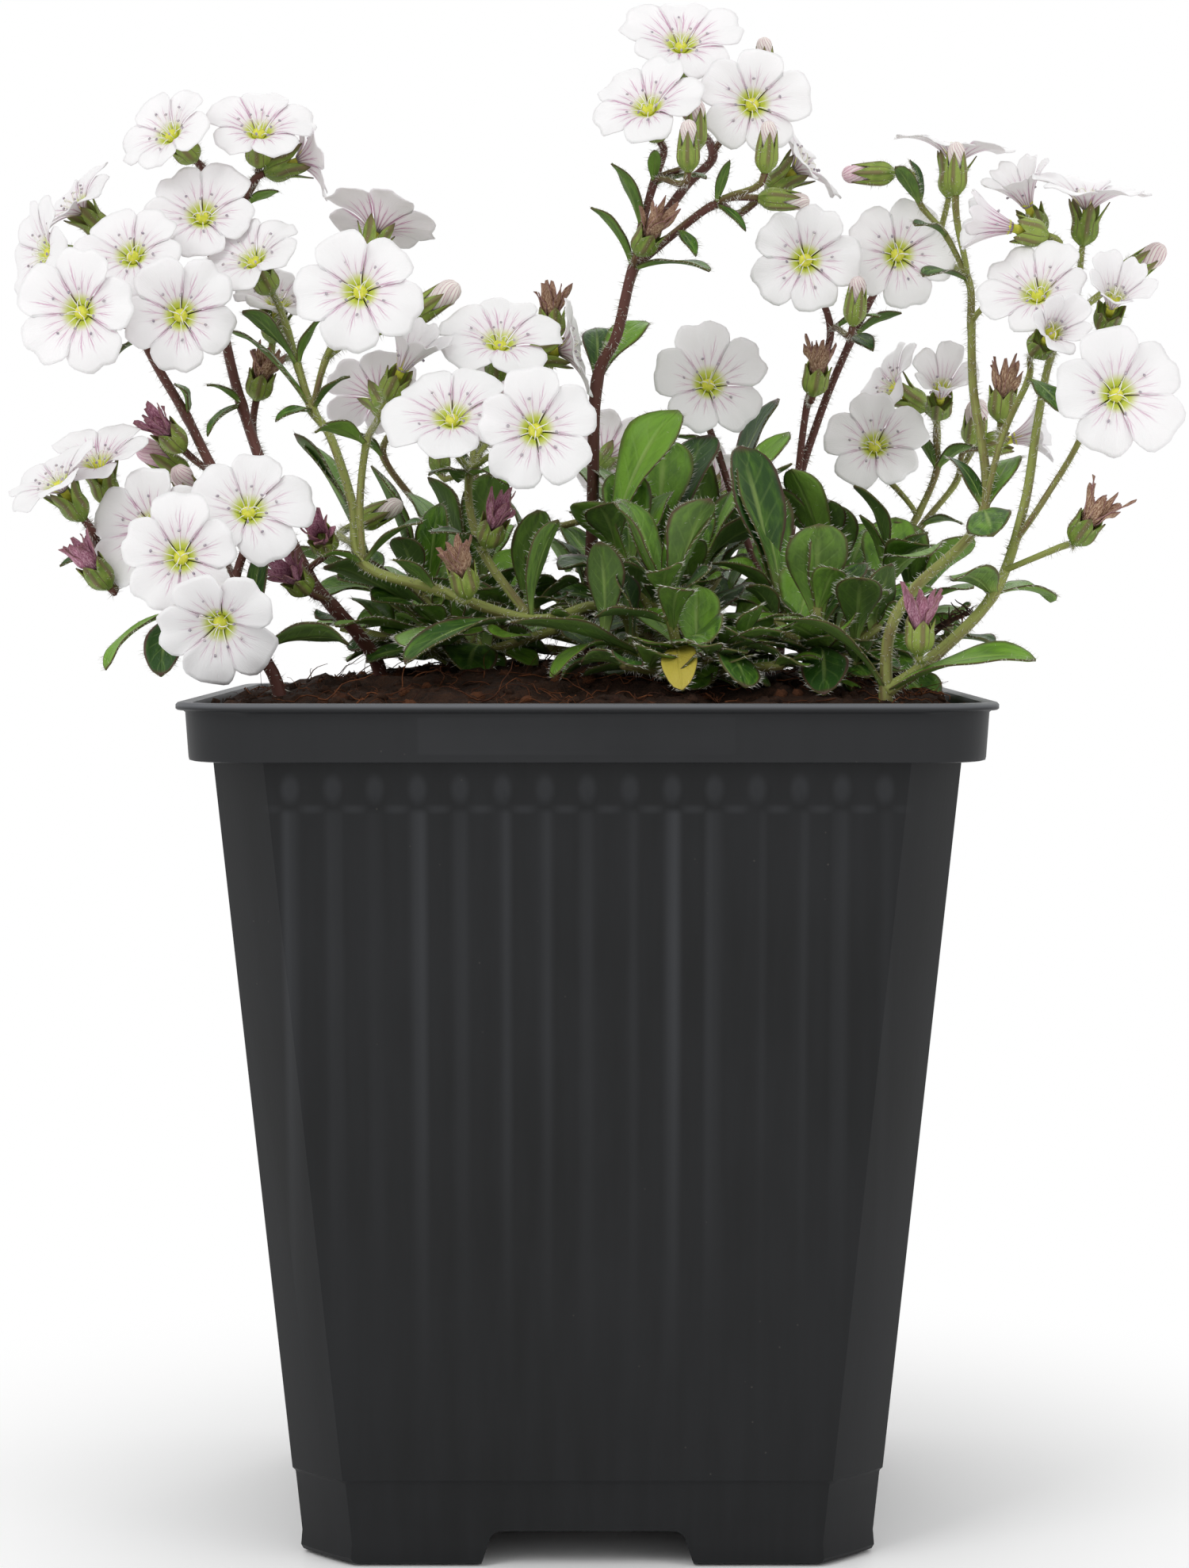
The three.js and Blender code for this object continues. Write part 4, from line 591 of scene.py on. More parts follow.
def addRings(shape, rings, marks, finish):  # closed solid through rings that run round its way forward
    rows, columns = rings.shape[:2]
    ends = np.array([rings[0].mean(0), rings[-1].mean(0)])
    size = rows * columns
    step = np.arange(columns)
    after = (step + 1) % columns
    first = np.stack([np.full(columns, size), after, step], 1)
    last = np.stack([np.full(columns, size + 1), step + size - columns, after + size - columns], 1)
    shape.add(np.concatenate([rings.reshape(-1, 3), ends]),
              np.concatenate([marks.reshape(-1, 3), marks[0].mean(0)[None], marks[-1].mean(0)[None]]),
              [gridFaces(rows, columns, True)[:, ::-1], first, last], finish)


def tubeFrames(centres):  # way forward and two ways across, steadily carried along a curve
    along = unit(np.gradient(centres, axis=0))
    start = np.array([1.0, 0, 0]) if abs(along[0][0]) < 0.7 else np.array([0, 1.0, 0])
    across = np.empty_like(along)
    for i, way in enumerate(along):
        start = unit(start - way * (start @ way))
        across[i] = start
    return along, across, np.cross(along, across)


def addTube(shape, centres, radii, sides, tint, finish):  # marks: turn round, length so far, tint
    along, across, other = tubeFrames(centres)
    turn = 2 * np.pi * np.arange(sides) / sides
    radii = np.broadcast_to(radii, len(centres))[:, None, None]
    circles = across[:, None] * np.cos(turn)[:, None] + other[:, None] * np.sin(turn)[:, None]
    rings = centres[:, None] + radii * circles
    length = np.concatenate([[0], np.cumsum(np.linalg.norm(np.diff(centres, axis=0), axis=1))])
    marks = np.stack(np.broadcast_arrays(np.sin(turn), length[:, None], tint), -1)
    addRings(shape, rings, marks, finish)
    return along, across, other


def addHairs(shape, roots, ways, lengths, width, finish):  # slender three-sided spikes
    ways = unit(ways)
    first = unit(np.cross(ways, ways[:, [1, 2, 0]] + 0.1))
    second = np.cross(ways, first)
    thirds = (0, 2.094, 4.189)  # of a full turn, in radians
    corners = [roots - ways * 0.06 + width * (first * math.cos(a) + second * math.sin(a)) for a in thirds]
    tips = roots + ways * lengths[:, None]
    points = np.stack([*corners, tips], 1)
    base = 4 * np.arange(len(roots))[:, None]
    faces = [base + np.array([corner]) for corner in ([0, 1, 3], [1, 2, 3], [2, 0, 3], [0, 2, 1])]
    shape.add(points, np.array([0.5, 0.5, 0.5]), [np.concatenate(faces)], finish)


# Shader maths: a socket that is added, multiplied and so on adds the nodes that do it

class Wire:

    def __init__(self, finish, socket):
        self.finish, self.socket = finish, socket

    def __add__(self, other):
        return self.finish.sum("ADD", self, other)

    def __radd__(self, other):
        return self.finish.sum("ADD", other, self)

    def __sub__(self, other):
        return self.finish.sum("SUBTRACT", self, other)

    def __rsub__(self, other):
        return self.finish.sum("SUBTRACT", other, self)

    def __mul__(self, other):
        return self.finish.sum("MULTIPLY", self, other)

    def __rmul__(self, other):
        return self.finish.sum("MULTIPLY", other, self)

    def __truediv__(self, other):
        return self.finish.sum("DIVIDE", self, other)

    def __pow__(self, other):
        return self.finish.sum("POWER", self, other)

    def __abs__(self):
        return self.finish.sum("ABSOLUTE", self)

    def __mod__(self, other):
        return self.finish.sum("FLOORED_MODULO", self, other)

    def __gt__(self, other):
        return self.finish.sum("GREATER_THAN", self, other)

    def __lt__(self, other):
        return self.finish.sum("LESS_THAN", self, other)

    def ramp(self, low, high):  # smooth step from 0 at low to 1 at high, or down where low is the larger
        flip = low > high
        values = {"Value": self, "From Min": min(low, high), "From Max": max(low, high),
                  "To Min": float(flip), "To Max": float(not flip)}
        return self.finish.node("ShaderNodeMapRange", {"interpolation_type": "SMOOTHSTEP"}, values)


class Finish:  # one material: every node comes from node(), and surface() closes it

    def __init__(self, name):
        self.material = bpy.data.materials.new(name)
        self.material.use_nodes = True
        self.tree = self.material.node_tree
        self.tree.nodes.clear()

    def node(self, kind, settings={}, inputs={}, out=0):
        made = self.tree.nodes.new(kind)
        for name, value in settings.items():
            if name == "stops":
                while len(made.color_ramp.elements) < len(value):
                    made.color_ramp.elements.new(1)
                for element, (place, colour) in zip(made.color_ramp.elements, value):
                    element.position, element.color = place, colour
            else:
                setattr(made, name, value)
        for name, value in inputs.items():
            socket = made.inputs[name]
            if isinstance(value, Wire):
                self.tree.links.new(value.socket, socket)
            else:
                socket.default_value = value
        return Wire(self, made.outputs[out]) if len(made.outputs) else None

    def sum(self, operation, *values):
        return self.node("ShaderNodeMath", {"operation": operation}, dict(enumerate(values)))

    def mark(self):  # the three parts of the mesh's own mark
        vector = self.node("ShaderNodeAttribute", {"attribute_name": "mark"}, out="Vector")
        return [self.node("ShaderNodeSeparateXYZ", {}, {0: vector}, out) for out in "XYZ"]

    def place(self):
        return self.node("ShaderNodeTexCoord", out="Object")

    def join(self, x, y, z):
        return self.node("ShaderNodeCombineXYZ", {}, {"X": x, "Y": y, "Z": z})

    def stretch(self, vector, scale):
        return self.node("ShaderNodeVectorMath", {"operation": "MULTIPLY"}, {0: vector, 1: scale})

    def noise(self, vector, scale, detail=3.0, rough=0.55):
        values = {"Vector": vector, "Scale": scale, "Detail": detail, "Roughness": rough}
        return self.node("ShaderNodeTexNoise", {}, values)

    def cells(self, vector, scale, out="Distance"):
        return self.node("ShaderNodeTexVoronoi", {}, {"Vector": vector, "Scale": scale}, out)

    def mix(self, share, first, second):  # colours
        return self.node("ShaderNodeMix", {"data_type": "RGBA"}, {0: share, 6: first, 7: second}, 2)

    def bump(self, height, strength, distance):
        values = {"Height": height, "Strength": strength, "Distance": distance}
        return self.node("ShaderNodeBump", {}, values)

    def surface(self, **inputs):
        names = {name.replace(" ", ""): name for name in (
            "Base Color", "Roughness", "Metallic", "Normal", "Specular IOR Level", "Subsurface Weight",
            "Subsurface Radius", "Subsurface Scale", "Coat Weight", "Emission Color", "Emission Strength")}
        values = {names[key]: value for key, value in inputs.items()}
        shader = self.node("ShaderNodeBsdfPrincipled", {}, values)
        self.node("ShaderNodeOutputMaterial", {}, {"Surface": shader})
        return self.material


def tone(red, green, blue):  # a colour as it looks on screen, from 0 to 255
    return (*[((v / 255 + 0.055) / 1.055)**2.4 if v > 10 else v / 3295 for v in (red, green, blue)], 1)


def petalFinish():
    f = Finish("whitePetal")
    across, along, code = f.mark()
    under = code > 0.995
    seed = code - under
    spread = across * 2.1 + (f.noise(f.join(across, along, seed * 40), 3.1) - 0.5) * 0.4
    near = abs((spread + 0.5) % 1 - 0.5)  # distance from the nearest main vein, in veins
    branch = abs(near - 0.27 * along.ramp(0.28, 0.62))
    reach = f.noise(f.join(spread * 0.9, seed * 31, 0), 1.0, 1.0) * 0.6
    vein = near.ramp(0.085, 0.02) * (along - reach).ramp(0.44, 0.16) * along.ramp(0.12, 0.3)
    fork = branch.ramp(0.06, 0.015) * (along - reach).ramp(0.36, 0.12) * along.ramp(0.24, 0.36)
    fine = f.sum("MAXIMUM", vein, fork * 0.6)
    strength = 0.34 + 0.4 * seed + 0.25 * under
    flush = along.ramp(0.75, 0.05) * (0.10 + 0.30 * seed) + under * 0.16
    ground = f.mix(flush, tone(243, 241, 242), tone(226, 194, 212))
    veined = f.mix(fine * strength, ground, tone(182, 84, 148))
    stripe = under * along.ramp(0.5, 0.1) * near.ramp(0.34, 0.1) * 0.7
    striped = f.mix(stripe, veined, tone(150, 78, 118))
    eye = along.ramp(0.34, 0.14) * (1 - under)
    eyed = f.mix(eye, striped, tone(204, 216, 84))
    grain = f.noise(f.join(across * 9, along * 2, seed * 20), 4, 2.0)
    return f.surface(BaseColor=eyed, Roughness=0.5 + grain * 0.14, SubsurfaceWeight=0.25,
                     SubsurfaceRadius=(1.0, 0.85, 0.9), SubsurfaceScale=0.0009, SpecularIORLevel=0.3,
                     Normal=f.bump(grain * 0.6 - fine * 0.35, 0.35, 0.0002))


def leafFinish():
    f = Finish("hairyLeaf")
    across, along, code = f.mark()
    under = code > 0.995
    seed = code - under
    side = abs(across)
    place = f.place()
    cloud = f.noise(f.join(across * 2, along * 3, seed * 50), 1.6)
    pores = f.noise(place, 2600, 2.0)
    slant = abs((along * 6.5 - side * 1.7) % 1 - 0.5)  # side veins run out and forward from the midrib
    netting = slant.ramp(0.13, 0.02) * side.ramp(0.95, 0.5) * 0.16
    green = f.mix((seed * 0.75 + (cloud - 0.5) * 1.1).ramp(0.0, 0.8), tone(38, 72, 22), tone(112, 156, 46))
    pale = f.mix(along.ramp(0.3, 0.02) * 0.75, green, tone(150, 172, 84))
    ribbed = f.mix(side.ramp(0.14, 0.03) * along.ramp(0.95, 0.6) * 0.6, pale, tone(146, 170, 92))
    netted = f.mix(netting, ribbed, tone(134, 162, 84))
    lower = f.mix(under * 0.35, netted, tone(118, 140, 78))
    edgeNoise = f.noise(f.join(across, along * 6, seed * 17), 2.2)
    edge = (side + (edgeNoise - 0.5) * 0.12).ramp(0.86, 0.97)
    tip = along.ramp(0.93, 1.0)
    rim = f.sum("MAXIMUM", edge, tip)
    bordered = f.mix(rim * (0.95 - seed * 0.5), lower, tone(86, 54, 50))
    wilt = f.mix(code % 1 > 0.985, bordered, tone(178, 164, 66))
    relief = netting * -1.2 - side.ramp(0.12, 0.02) * 0.7 + pores * 0.5 + cloud * 0.6
    return f.surface(BaseColor=wilt, Roughness=0.42 + pores * 0.1 + under * 0.16, SpecularIORLevel=0.28,
                     SubsurfaceWeight=0.12, SubsurfaceRadius=(0.5, 0.8, 0.2), SubsurfaceScale=0.0006,
                     Normal=f.bump(relief, 0.5, 0.00025))


def stemFinish():
    f = Finish("hairyStem")
    around, length, tint = f.mark()
    place = f.place()
    streak = f.noise(f.join(around * 2.4, length * 0.12, tint * 9), 1.4, 4.0)
    cloud = f.noise(place, 160)
    share = (tint + (cloud - 0.5) * 0.5 + (streak - 0.5) * 0.7 - around * 0.12).ramp(0.22, 0.78)
    skin = f.mix(share, tone(138, 146, 74), tone(94, 56, 48))
    wearAndHighlight = f.mix(streak.ramp(0.62, 0.8) * 0.3, skin, tone(168, 150, 112))
    return f.surface(BaseColor=wearAndHighlight, Roughness=0.5 + streak * 0.15, SpecularIORLevel=0.35,
                     Normal=f.bump(streak + cloud * 0.5, 0.5, 0.0002))


def calyxFinish():
    f = Finish("ribbedCalyx")
    across, along, seed = f.mark()
    side = abs(across)
    cloud = f.noise(f.join(across, along * 2, seed * 30), 2.0)
    green = f.mix((cloud + seed * 0.4).ramp(0.35, 0.9), tone(98, 122, 44), tone(142, 160, 72))
    streak = side.ramp(0.42, 0.12) * along.ramp(0.1, 0.4) * (0.3 + 0.5 * cloud)
    streaked = f.mix(streak, green, tone(112, 62, 74))
    hem = side.ramp(0.72, 0.95) * along.ramp(0.5, 0.8) * 0.6
    hemmed = f.mix(hem, streaked, tone(176, 178, 128))
    tip = f.mix(along.ramp(0.9, 1.0) * 0.5, hemmed, tone(86, 84, 56))
    return f.surface(BaseColor=tip, Roughness=0.5 + cloud * 0.12, SpecularIORLevel=0.35,
                     Normal=f.bump(side.ramp(0.4, 0.0) + cloud * 0.5, 0.5, 0.00025))


def budFinish():
    f = Finish("furledPetal")
    across, along, seed = f.mark()
    fold = f.noise(f.join(across * 3, along * 2, seed * 12), 2.0)
    rose = f.mix((seed + (fold - 0.5) * 0.9).ramp(0.1, 0.95), tone(236, 230, 222), tone(206, 150, 178))
    streaked = f.mix(abs((across * 3) % 1 - 0.5).ramp(0.2, 0.04) * 0.6, rose, tone(170, 92, 132))
    return f.surface(BaseColor=streaked, Roughness=0.48 + fold * 0.15, SpecularIORLevel=0.3,
                     SubsurfaceWeight=0.15, SubsurfaceRadius=(1.0, 0.7, 0.8), SubsurfaceScale=0.0006,
                     Normal=f.bump(fold, 0.4, 0.0002))


def witheredFinish():
    f = Finish("witheredPetal")
    across, along, code = f.mark()
    under = code > 0.995
    seed = code - under
    fold = f.noise(f.join(across * 2, along * 5, seed * 60), 2.5)
    rose = f.mix(fold.ramp(0.35, 0.7), tone(156, 92, 118), tone(216, 168, 186))
    tan = f.mix(fold.ramp(0.35, 0.7), tone(134, 92, 70), tone(216, 186, 158))
    petal = f.mix(seed.ramp(0.45, 0.55), rose, tan)
    tip = f.mix(along.ramp(0.7, 1.0) * 0.5, petal, tone(120, 78, 70))
    return f.surface(BaseColor=tip, Roughness=0.6 + fold * 0.15, SpecularIORLevel=0.25,
                     Normal=f.bump(fold, 0.6, 0.0003))


def heartFinish():
    f = Finish("flowerHeart")
    around, height, kind = f.mark()
    cloud = f.noise(f.place(), 1800, 2.0)
    dome = f.mix(cloud.ramp(0.3, 0.7), tone(206, 212, 66), tone(232, 228, 96))
    pale = f.mix(cloud.ramp(0.3, 0.7), tone(236, 236, 222), tone(248, 246, 240))
    dust = f.mix(cloud.ramp(0.3, 0.7), tone(150, 140, 154), tone(196, 188, 192))
    threads = f.mix(kind > 0.25, dome, pale)
    parts = f.mix(kind > 0.5, threads, dust)  # ovary, then styles and filaments, then anthers
    return f.surface(BaseColor=parts, Roughness=0.45 + cloud * 0.2, SpecularIORLevel=0.3,
                     SubsurfaceWeight=0.1, SubsurfaceRadius=(1.0, 0.9, 0.5), SubsurfaceScale=0.0005,
                     Normal=f.bump(cloud, 0.3, 0.0001))


def hairFinish():
    f = Finish("paleHair")
    cloud = f.noise(f.place(), 900, 1.0)
    silk = f.mix(cloud.ramp(0.3, 0.7), tone(214, 212, 200), tone(240, 238, 230))
    return f.surface(BaseColor=silk, Roughness=0.4 + cloud * 0.2, SpecularIORLevel=0.4)


def soilFinish():
    f = Finish("growingMedium")
    kind, share, seed = f.mark()
    place = f.place()
    coarse = f.noise(place, 420, 5.0, 0.65)
    fine = f.noise(place, 2600, 3.0)
    grains = f.cells(place, 900)
    dark = f.mix((coarse * 0.7 + fine * 0.5).ramp(0.35, 0.85), tone(24, 15, 10), tone(62, 40, 27))
    flecks = f.mix((fine - grains * 0.4).ramp(0.52, 0.62) * 0.5, dark, tone(98, 66, 44))
    root = f.mix((coarse + seed * 0.5).ramp(0.4, 1.0), tone(52, 28, 18), tone(116, 70, 42))
    bark = f.mix(kind, flecks, root)  # kind is 1 on the fibres, less on crumbs
    return f.surface(BaseColor=bark, Roughness=0.86 + fine * 0.12, SpecularIORLevel=0.2,
                     Normal=f.bump(coarse + fine * 0.6, 0.9, 0.0006))


def potFinish():
    f = Finish("potPlastic")
    place = f.place()
    haze = f.noise(place, 26, 4.0)
    drawn = f.noise(f.stretch(place, (420, 420, 14)), 1.0, 4.0)  # moulding streaks run up the walls
    grain = f.noise(place, 5200, 2.0)
    specks = f.cells(place, 330)
    x, y, z = [f.node("ShaderNodeSeparateXYZ", {}, {0: place}, out) for out in "XYZ"]
    sideways = abs(x) > abs(y)
    across = x * (1 - sideways) + y * sideways  # along the wall, in metres
    flute = abs((across / 0.0047 + 0.5) % 1 - 0.5)  # 0 on the middle of a flute
    odd = f.noise(f.join(across * 140, sideways * 7, 0), 1.0, 2.0)
    inside = abs(across).ramp(0.0365, 0.0335)
    # Painted highlights: lighter streaks down the flutes, lighter scallop dents and a lighter arch line,
    # painted where light would catch the relief
    streak = flute.ramp(0.3, 0.04) * odd.ramp(0.4, 0.68) * z.ramp(0.012, 0.075) * z.ramp(0.0875, 0.0865)
    dent = f.sum("SQRT", (flute * 3.4)**2 + (abs(z - 0.0894) / 0.0022)**2)
    scallop = dent.ramp(1.0, 0.3) * (0.2 + 1.4 * odd)
    arch = flute.ramp(0.1, 0.45) * abs(z - 0.0872).ramp(0.0007, 0.0001)
    plate = abs(x + 0.0012).ramp(0.0176, 0.0172) * abs(z - 0.0954).ramp(0.0022, 0.0018) * (y < -0.04)
    # Painted highlight: a thin lighter line along the top edge of the lip, where light catches it
    rim = z.ramp(0.0983, 0.0988)
    band = z.ramp(0.0922, 0.0926)
    paintedReliefHighlight = f.sum("MAXIMUM", streak * 0.42, scallop * 0.26 + arch * 0.16)
    base = f.mix((haze * 0.6 + drawn * 0.5).ramp(0.3, 0.8), tone(20, 21, 22), tone(30, 31, 33))
    raised = f.mix(band * 0.5 + plate * haze.ramp(0.3, 0.6) * 0.4, base, tone(44, 45, 47))
    # the relief's painted highlights, in a lighter grey
    withReliefHighlights = f.mix(paintedReliefHighlight * inside, raised, tone(76, 78, 82))
    # the lip edge's painted highlight, in a light grey
    wearAndHighlight = f.mix(rim * 0.85, withReliefHighlights, tone(104, 106, 110))
    dusty = f.mix(specks.ramp(0.05, 0.02) * haze.ramp(0.45, 0.65) * 0.35, wearAndHighlight, tone(96, 92, 86))
    rough = 0.36 + drawn * 0.12 + haze * 0.14
    return f.surface(BaseColor=dusty, Roughness=rough, SpecularIORLevel=0.22,
                     Normal=f.bump(grain * 0.25 + drawn * 0.6, 0.25, 0.00012))


finishes = {
    "petal": petalFinish(), "leaf": leafFinish(), "stem": stemFinish(), "calyx": calyxFinish(),
    "bud": budFinish(), "withered": witheredFinish(), "heart": heartFinish(), "hair": hairFinish(),
    "soil": soilFinish(), "pot": potFinish(),
}
print("materials made")


# Flower heads, in their own axes: across, up, and the way they face, from the throat

calyx = {"length": 4.4, "belly": 1.68, "tooth": 1.78, "toothTip": -0.15, "openTooth": 2.7, "openTip": 1.2,
         "notch": -1.45, "cup": -2.6, "wall": 0.16, "columns": 30, "hairs": 80, "hairLength": 0.6,
         "hairRadius": 0.028}
petal = {"rows": 13, "columns": 15, "thickness": 0.15, "throat": 0.6, "open": (40, 100), "cup": (18, 50),
         "notch": 0.055, "shoulder": 0.3, "crimp": 0.034, "overlap": 0.05, "cupping": 0.05,
         "count": 5, "halfTurn": 30.5, "widening": 7.5, "droop": 30, "crease": -0.02}
bud = {"rows": 16, "columns": 30, "foot": -1.9}
withered = {"petals": 11, "rows": 9, "columns": 5, "halfWidth": 0.62, "thickness": 0.1, "foot": -1.5}
heart = {"dome": 0.85, "stamens": 10, "filament": 0.06, "anther": 0.17, "styles": 3}


def headAxes(head):
    x, y, z, bearing, rise = head[4:9]
    facing = aim(bearing, rise)
    right = levelSide(bearing)
    return np.array([x, y, z], float), np.array([right, np.cross(facing, right), facing])


def headSpin(head):
    return 2 * math.pi * chance(head[4], head[6])


def petalArc(reach, slopes, share):
    start, end = math.radians(slopes[0]), math.radians(slopes[1])
    here = start + (end - start) * share
    bend = 1.05 * reach / (end - start)
    out = petal["throat"] + bend * (math.cos(start) - np.cos(here))
    return out, bend * (np.sin(here) - math.sin(start))


def polar(axes, origin, radius, turn, height):
    local = np.stack(np.broadcast_arrays(radius * np.cos(turn), radius * np.sin(turn), height), -1)
    return origin + local @ axes


def addCalyx(shape, head, finish, hairNumber):
    origin, axes = headAxes(head)
    kind, size, seed = head[1], head[9], chance(head[4], head[5])
    turn = headSpin(head) + 2 * math.pi * np.arange(calyx["columns"]) / calyx["columns"]
    across = ((turn - headSpin(head)) * 5 / (2 * math.pi) + 0.5) % 1 * 2 - 1  # 0 on a tooth's midline
    tooth = (1 - abs(across))**0.85
    belly, notch = calyx["belly"], calyx["notch"]
    tipRadius, tipHeight = calyx["tooth"], calyx["toothTip"]
    if kind == "open":
        tipRadius, tipHeight = calyx["openTooth"], calyx["openTip"]  # they show in the slits between petals
    if kind == "bud":
        tipRadius, tipHeight = 0.42 + 0.22 * size, 0.3 * size - 0.1
        belly = min(belly, 0.75 + 0.22 * size)
    rib = 1 + 0.045 * np.cos(np.pi * across)
    rows = [(0.46, -4.4), (0.62, -4.25), (0.56 * belly, -4.0), (0.8 * belly, -3.6), (0.95 * belly, -3.1),
            (belly, -2.6), (0.98 * belly, -2.0)]
    outer = [np.stack(np.broadcast_arrays(radius * rib, height), -1) for radius, height in rows]
    shares = [0.0, 0.25, 0.5, 0.75, 1.0]
    rim = notch + (tipHeight - notch) * tooth
    rimRadius = 0.93 * belly + (tipRadius - 0.93 * belly) * tooth
    for share in shares:
        height = notch - 0.1 + (rim - notch + 0.1) * share
        outer.append(np.stack([0.97 * belly + (rimRadius - 0.97 * belly) * share**1.3, height], -1))
    wall = calyx["wall"]
    inner = [np.stack([ring[:, 0] - wall, ring[:, 1]], -1) for ring in outer[:6:-1]]
    inner.append(np.stack(np.broadcast_arrays(0.8 * belly * np.ones_like(turn), -2.2), -1))
    inner.append(np.stack(np.broadcast_arrays(0.3 * belly * np.ones_like(turn), calyx["cup"]), -1))
    profile = np.array(outer + inner)
    rings = polar(axes, origin, profile[..., 0], turn, profile[..., 1])
    height = np.clip((profile[..., 1] + 4.4) / (tipHeight + 4.4), 0, 1)
    addRings(shape, rings, np.stack(np.broadcast_arrays(across, height, seed), -1), finish)
    count = calyx["hairs"]
    level = dice.uniform(0, 1, count)
    around = dice.uniform(0, 2 * np.pi, count)
    row = 1 + level * 9
    low = np.floor(row).astype(int)
    column = (around / (2 * np.pi) * calyx["columns"]).astype(int) % calyx["columns"]
    part = (row - low)[:, None]
    roots = rings[low, column] * (1 - part) + rings[low + 1, column] * part
    middle = origin + (profile[low, column, 1] * 0.9)[:, None] * axes[2]
    ways = unit(roots - middle) + dice.normal(0, 0.25, (count, 3)) + axes[2] * 0.1
    sizes = dice.uniform(0.5, 1.2, count) * calyx["hairLength"]
    addHairs(shape, roots, ways, sizes, calyx["hairRadius"], hairNumber)


def addBud(shape, head, finish):
    origin, axes = headAxes(head)
    size, seed = head[9], chance(head[6], head[4])
    turn = 2 * math.pi * np.arange(bud["columns"]) / bud["columns"]
    top = 0.62 * size
    wide = 0.3 + 0.24 * size
    high = 0.3 * size - 0.3
    share = np.linspace(0, 1, bud["rows"])[:, None]
    height = bud["foot"] + (top - bud["foot"]) * share
    bulge = np.where(height < high, 0.85 * wide + 0.15 * wide * ease(height, bud["foot"], high),
                     wide * np.sqrt(np.clip(1 - ((height - high) / (top - high + 0.02))**2, 0, 1))**0.9)
    wrap = (turn * 5 / (2 * np.pi) + 1.6 * share) % 1  # petals furled round each other
    radius = np.maximum(bulge * (0.9 + 0.16 * wrap * ease(share, 0.1, 0.5)), 0.03)
    rings = polar(axes, origin, radius, turn, height)
    tint = seed * (0.35 if size < 3.3 else 0.6)
    marks = np.stack(np.broadcast_arrays(wrap + np.zeros_like(radius), share, tint), -1)
    addRings(shape, rings, marks, finish)


def addWithered(shape, head, finish):  # crumpled brush of dried petals
    origin, axes = headAxes(head)
    size, seed = head[9], chance(head[6], head[4])
    shade = 0.2 + 0.2 * seed if chance(head[5], head[6]) < 0.5 else 0.7 + 0.2 * seed
    for i in range(withered["petals"]):
        turn = 2 * math.pi * (i / withered["petals"] + 0.08 * chance(i, seed))
        length = size * (0.5 + 0.42 * chance(i, seed + 1))
        lean = 0.15 + 0.65 * chance(i, seed + 2)
        along = np.linspace(0, 1, withered["rows"])[:, None]
        side = np.linspace(-1, 1, withered["columns"])[None]
        twist = turn + (2.2 * chance(i, seed + 3) - 1.1) * along
        half = withered["halfWidth"] * np.sin(np.pi * np.clip(0.16 + 0.74 * along, 0, 1))
        radius = 0.75 + lean * size * 0.62 * along**1.5 + 0.14 * np.sin(9 * along + i) * side
        height = withered["foot"] + (length + 1.0) * along + 0.22 * np.sin(7 * along + 3 * i) * side
        grid = polar(axes, origin, radius, turn, height)
        grid = grid + (half * side)[..., None] * polar(axes, 0, 1.0, twist + np.pi / 2, 0.0)
        marks = np.stack(np.broadcast_arrays(side, along, shade), -1)
        addSheet(shape, grid, marks, withered["thickness"], finish)


def addBloom(shape, head, petalNumber, heartNumber):
    origin, axes = headAxes(head)
    kind, x, z, size = head[1], head[4], head[6], head[9]
    spin = headSpin(head)
    across = np.linspace(1, -1, petal["columns"])[None]
    share = np.linspace(0, 1, petal["rows"])[:, None]**0.9
    for k in range(petal["count"]):
        reach = size * (0.91 + 0.16 * chance(x + k, z))
        droop = petal["droop"] * (chance(z + k, x) - 0.6)
        slopes = (petal[kind][0], petal[kind][1] + droop)
        centre = spin + math.radians(72 * k + 36)
        sway = 6.28 * chance(x, z + k)
        margin = 1.035 - petal["notch"] * np.exp(-(across / 0.2)**2) - petal["shoulder"] * abs(across)**3.4
        margin = margin + 0.5 * petal["crimp"] * np.sin(11 * across + sway)
        part = share * margin
        halfTurn = np.radians(petal["halfTurn"] + petal["widening"] * (1 - (1 - share)**1.5))
        radius, height = petalArc(reach, slopes, part)
        crimp = petal["crimp"] * size * np.sin(6.5 * across + sway) * part**3
        cupping = petal["cupping"] * (0.2 + 2 * chance(k + z, x)) * size * (across**2 - 0.4) * part
        lap = petal["overlap"] * size * across * part * (1.25 - part)
        crease = petal["crease"] * size * np.exp(-(across / 0.12)**2) * part
        lift = height + crimp + cupping + lap + crease
        grid = polar(axes, origin, radius, centre - across * halfTurn, lift)
        tint = np.clip(chance(x, z) * 0.9 + 0.08 * chance(k, x), 0, 0.98)
        marks = np.stack(np.broadcast_arrays(across, part, tint), -1)
        thickness = petal["thickness"] * (1 - 0.4 * part)
        addSheet(shape, grid, marks, thickness, petalNumber)
    addHeart(shape, head, origin, axes, spin, heartNumber)


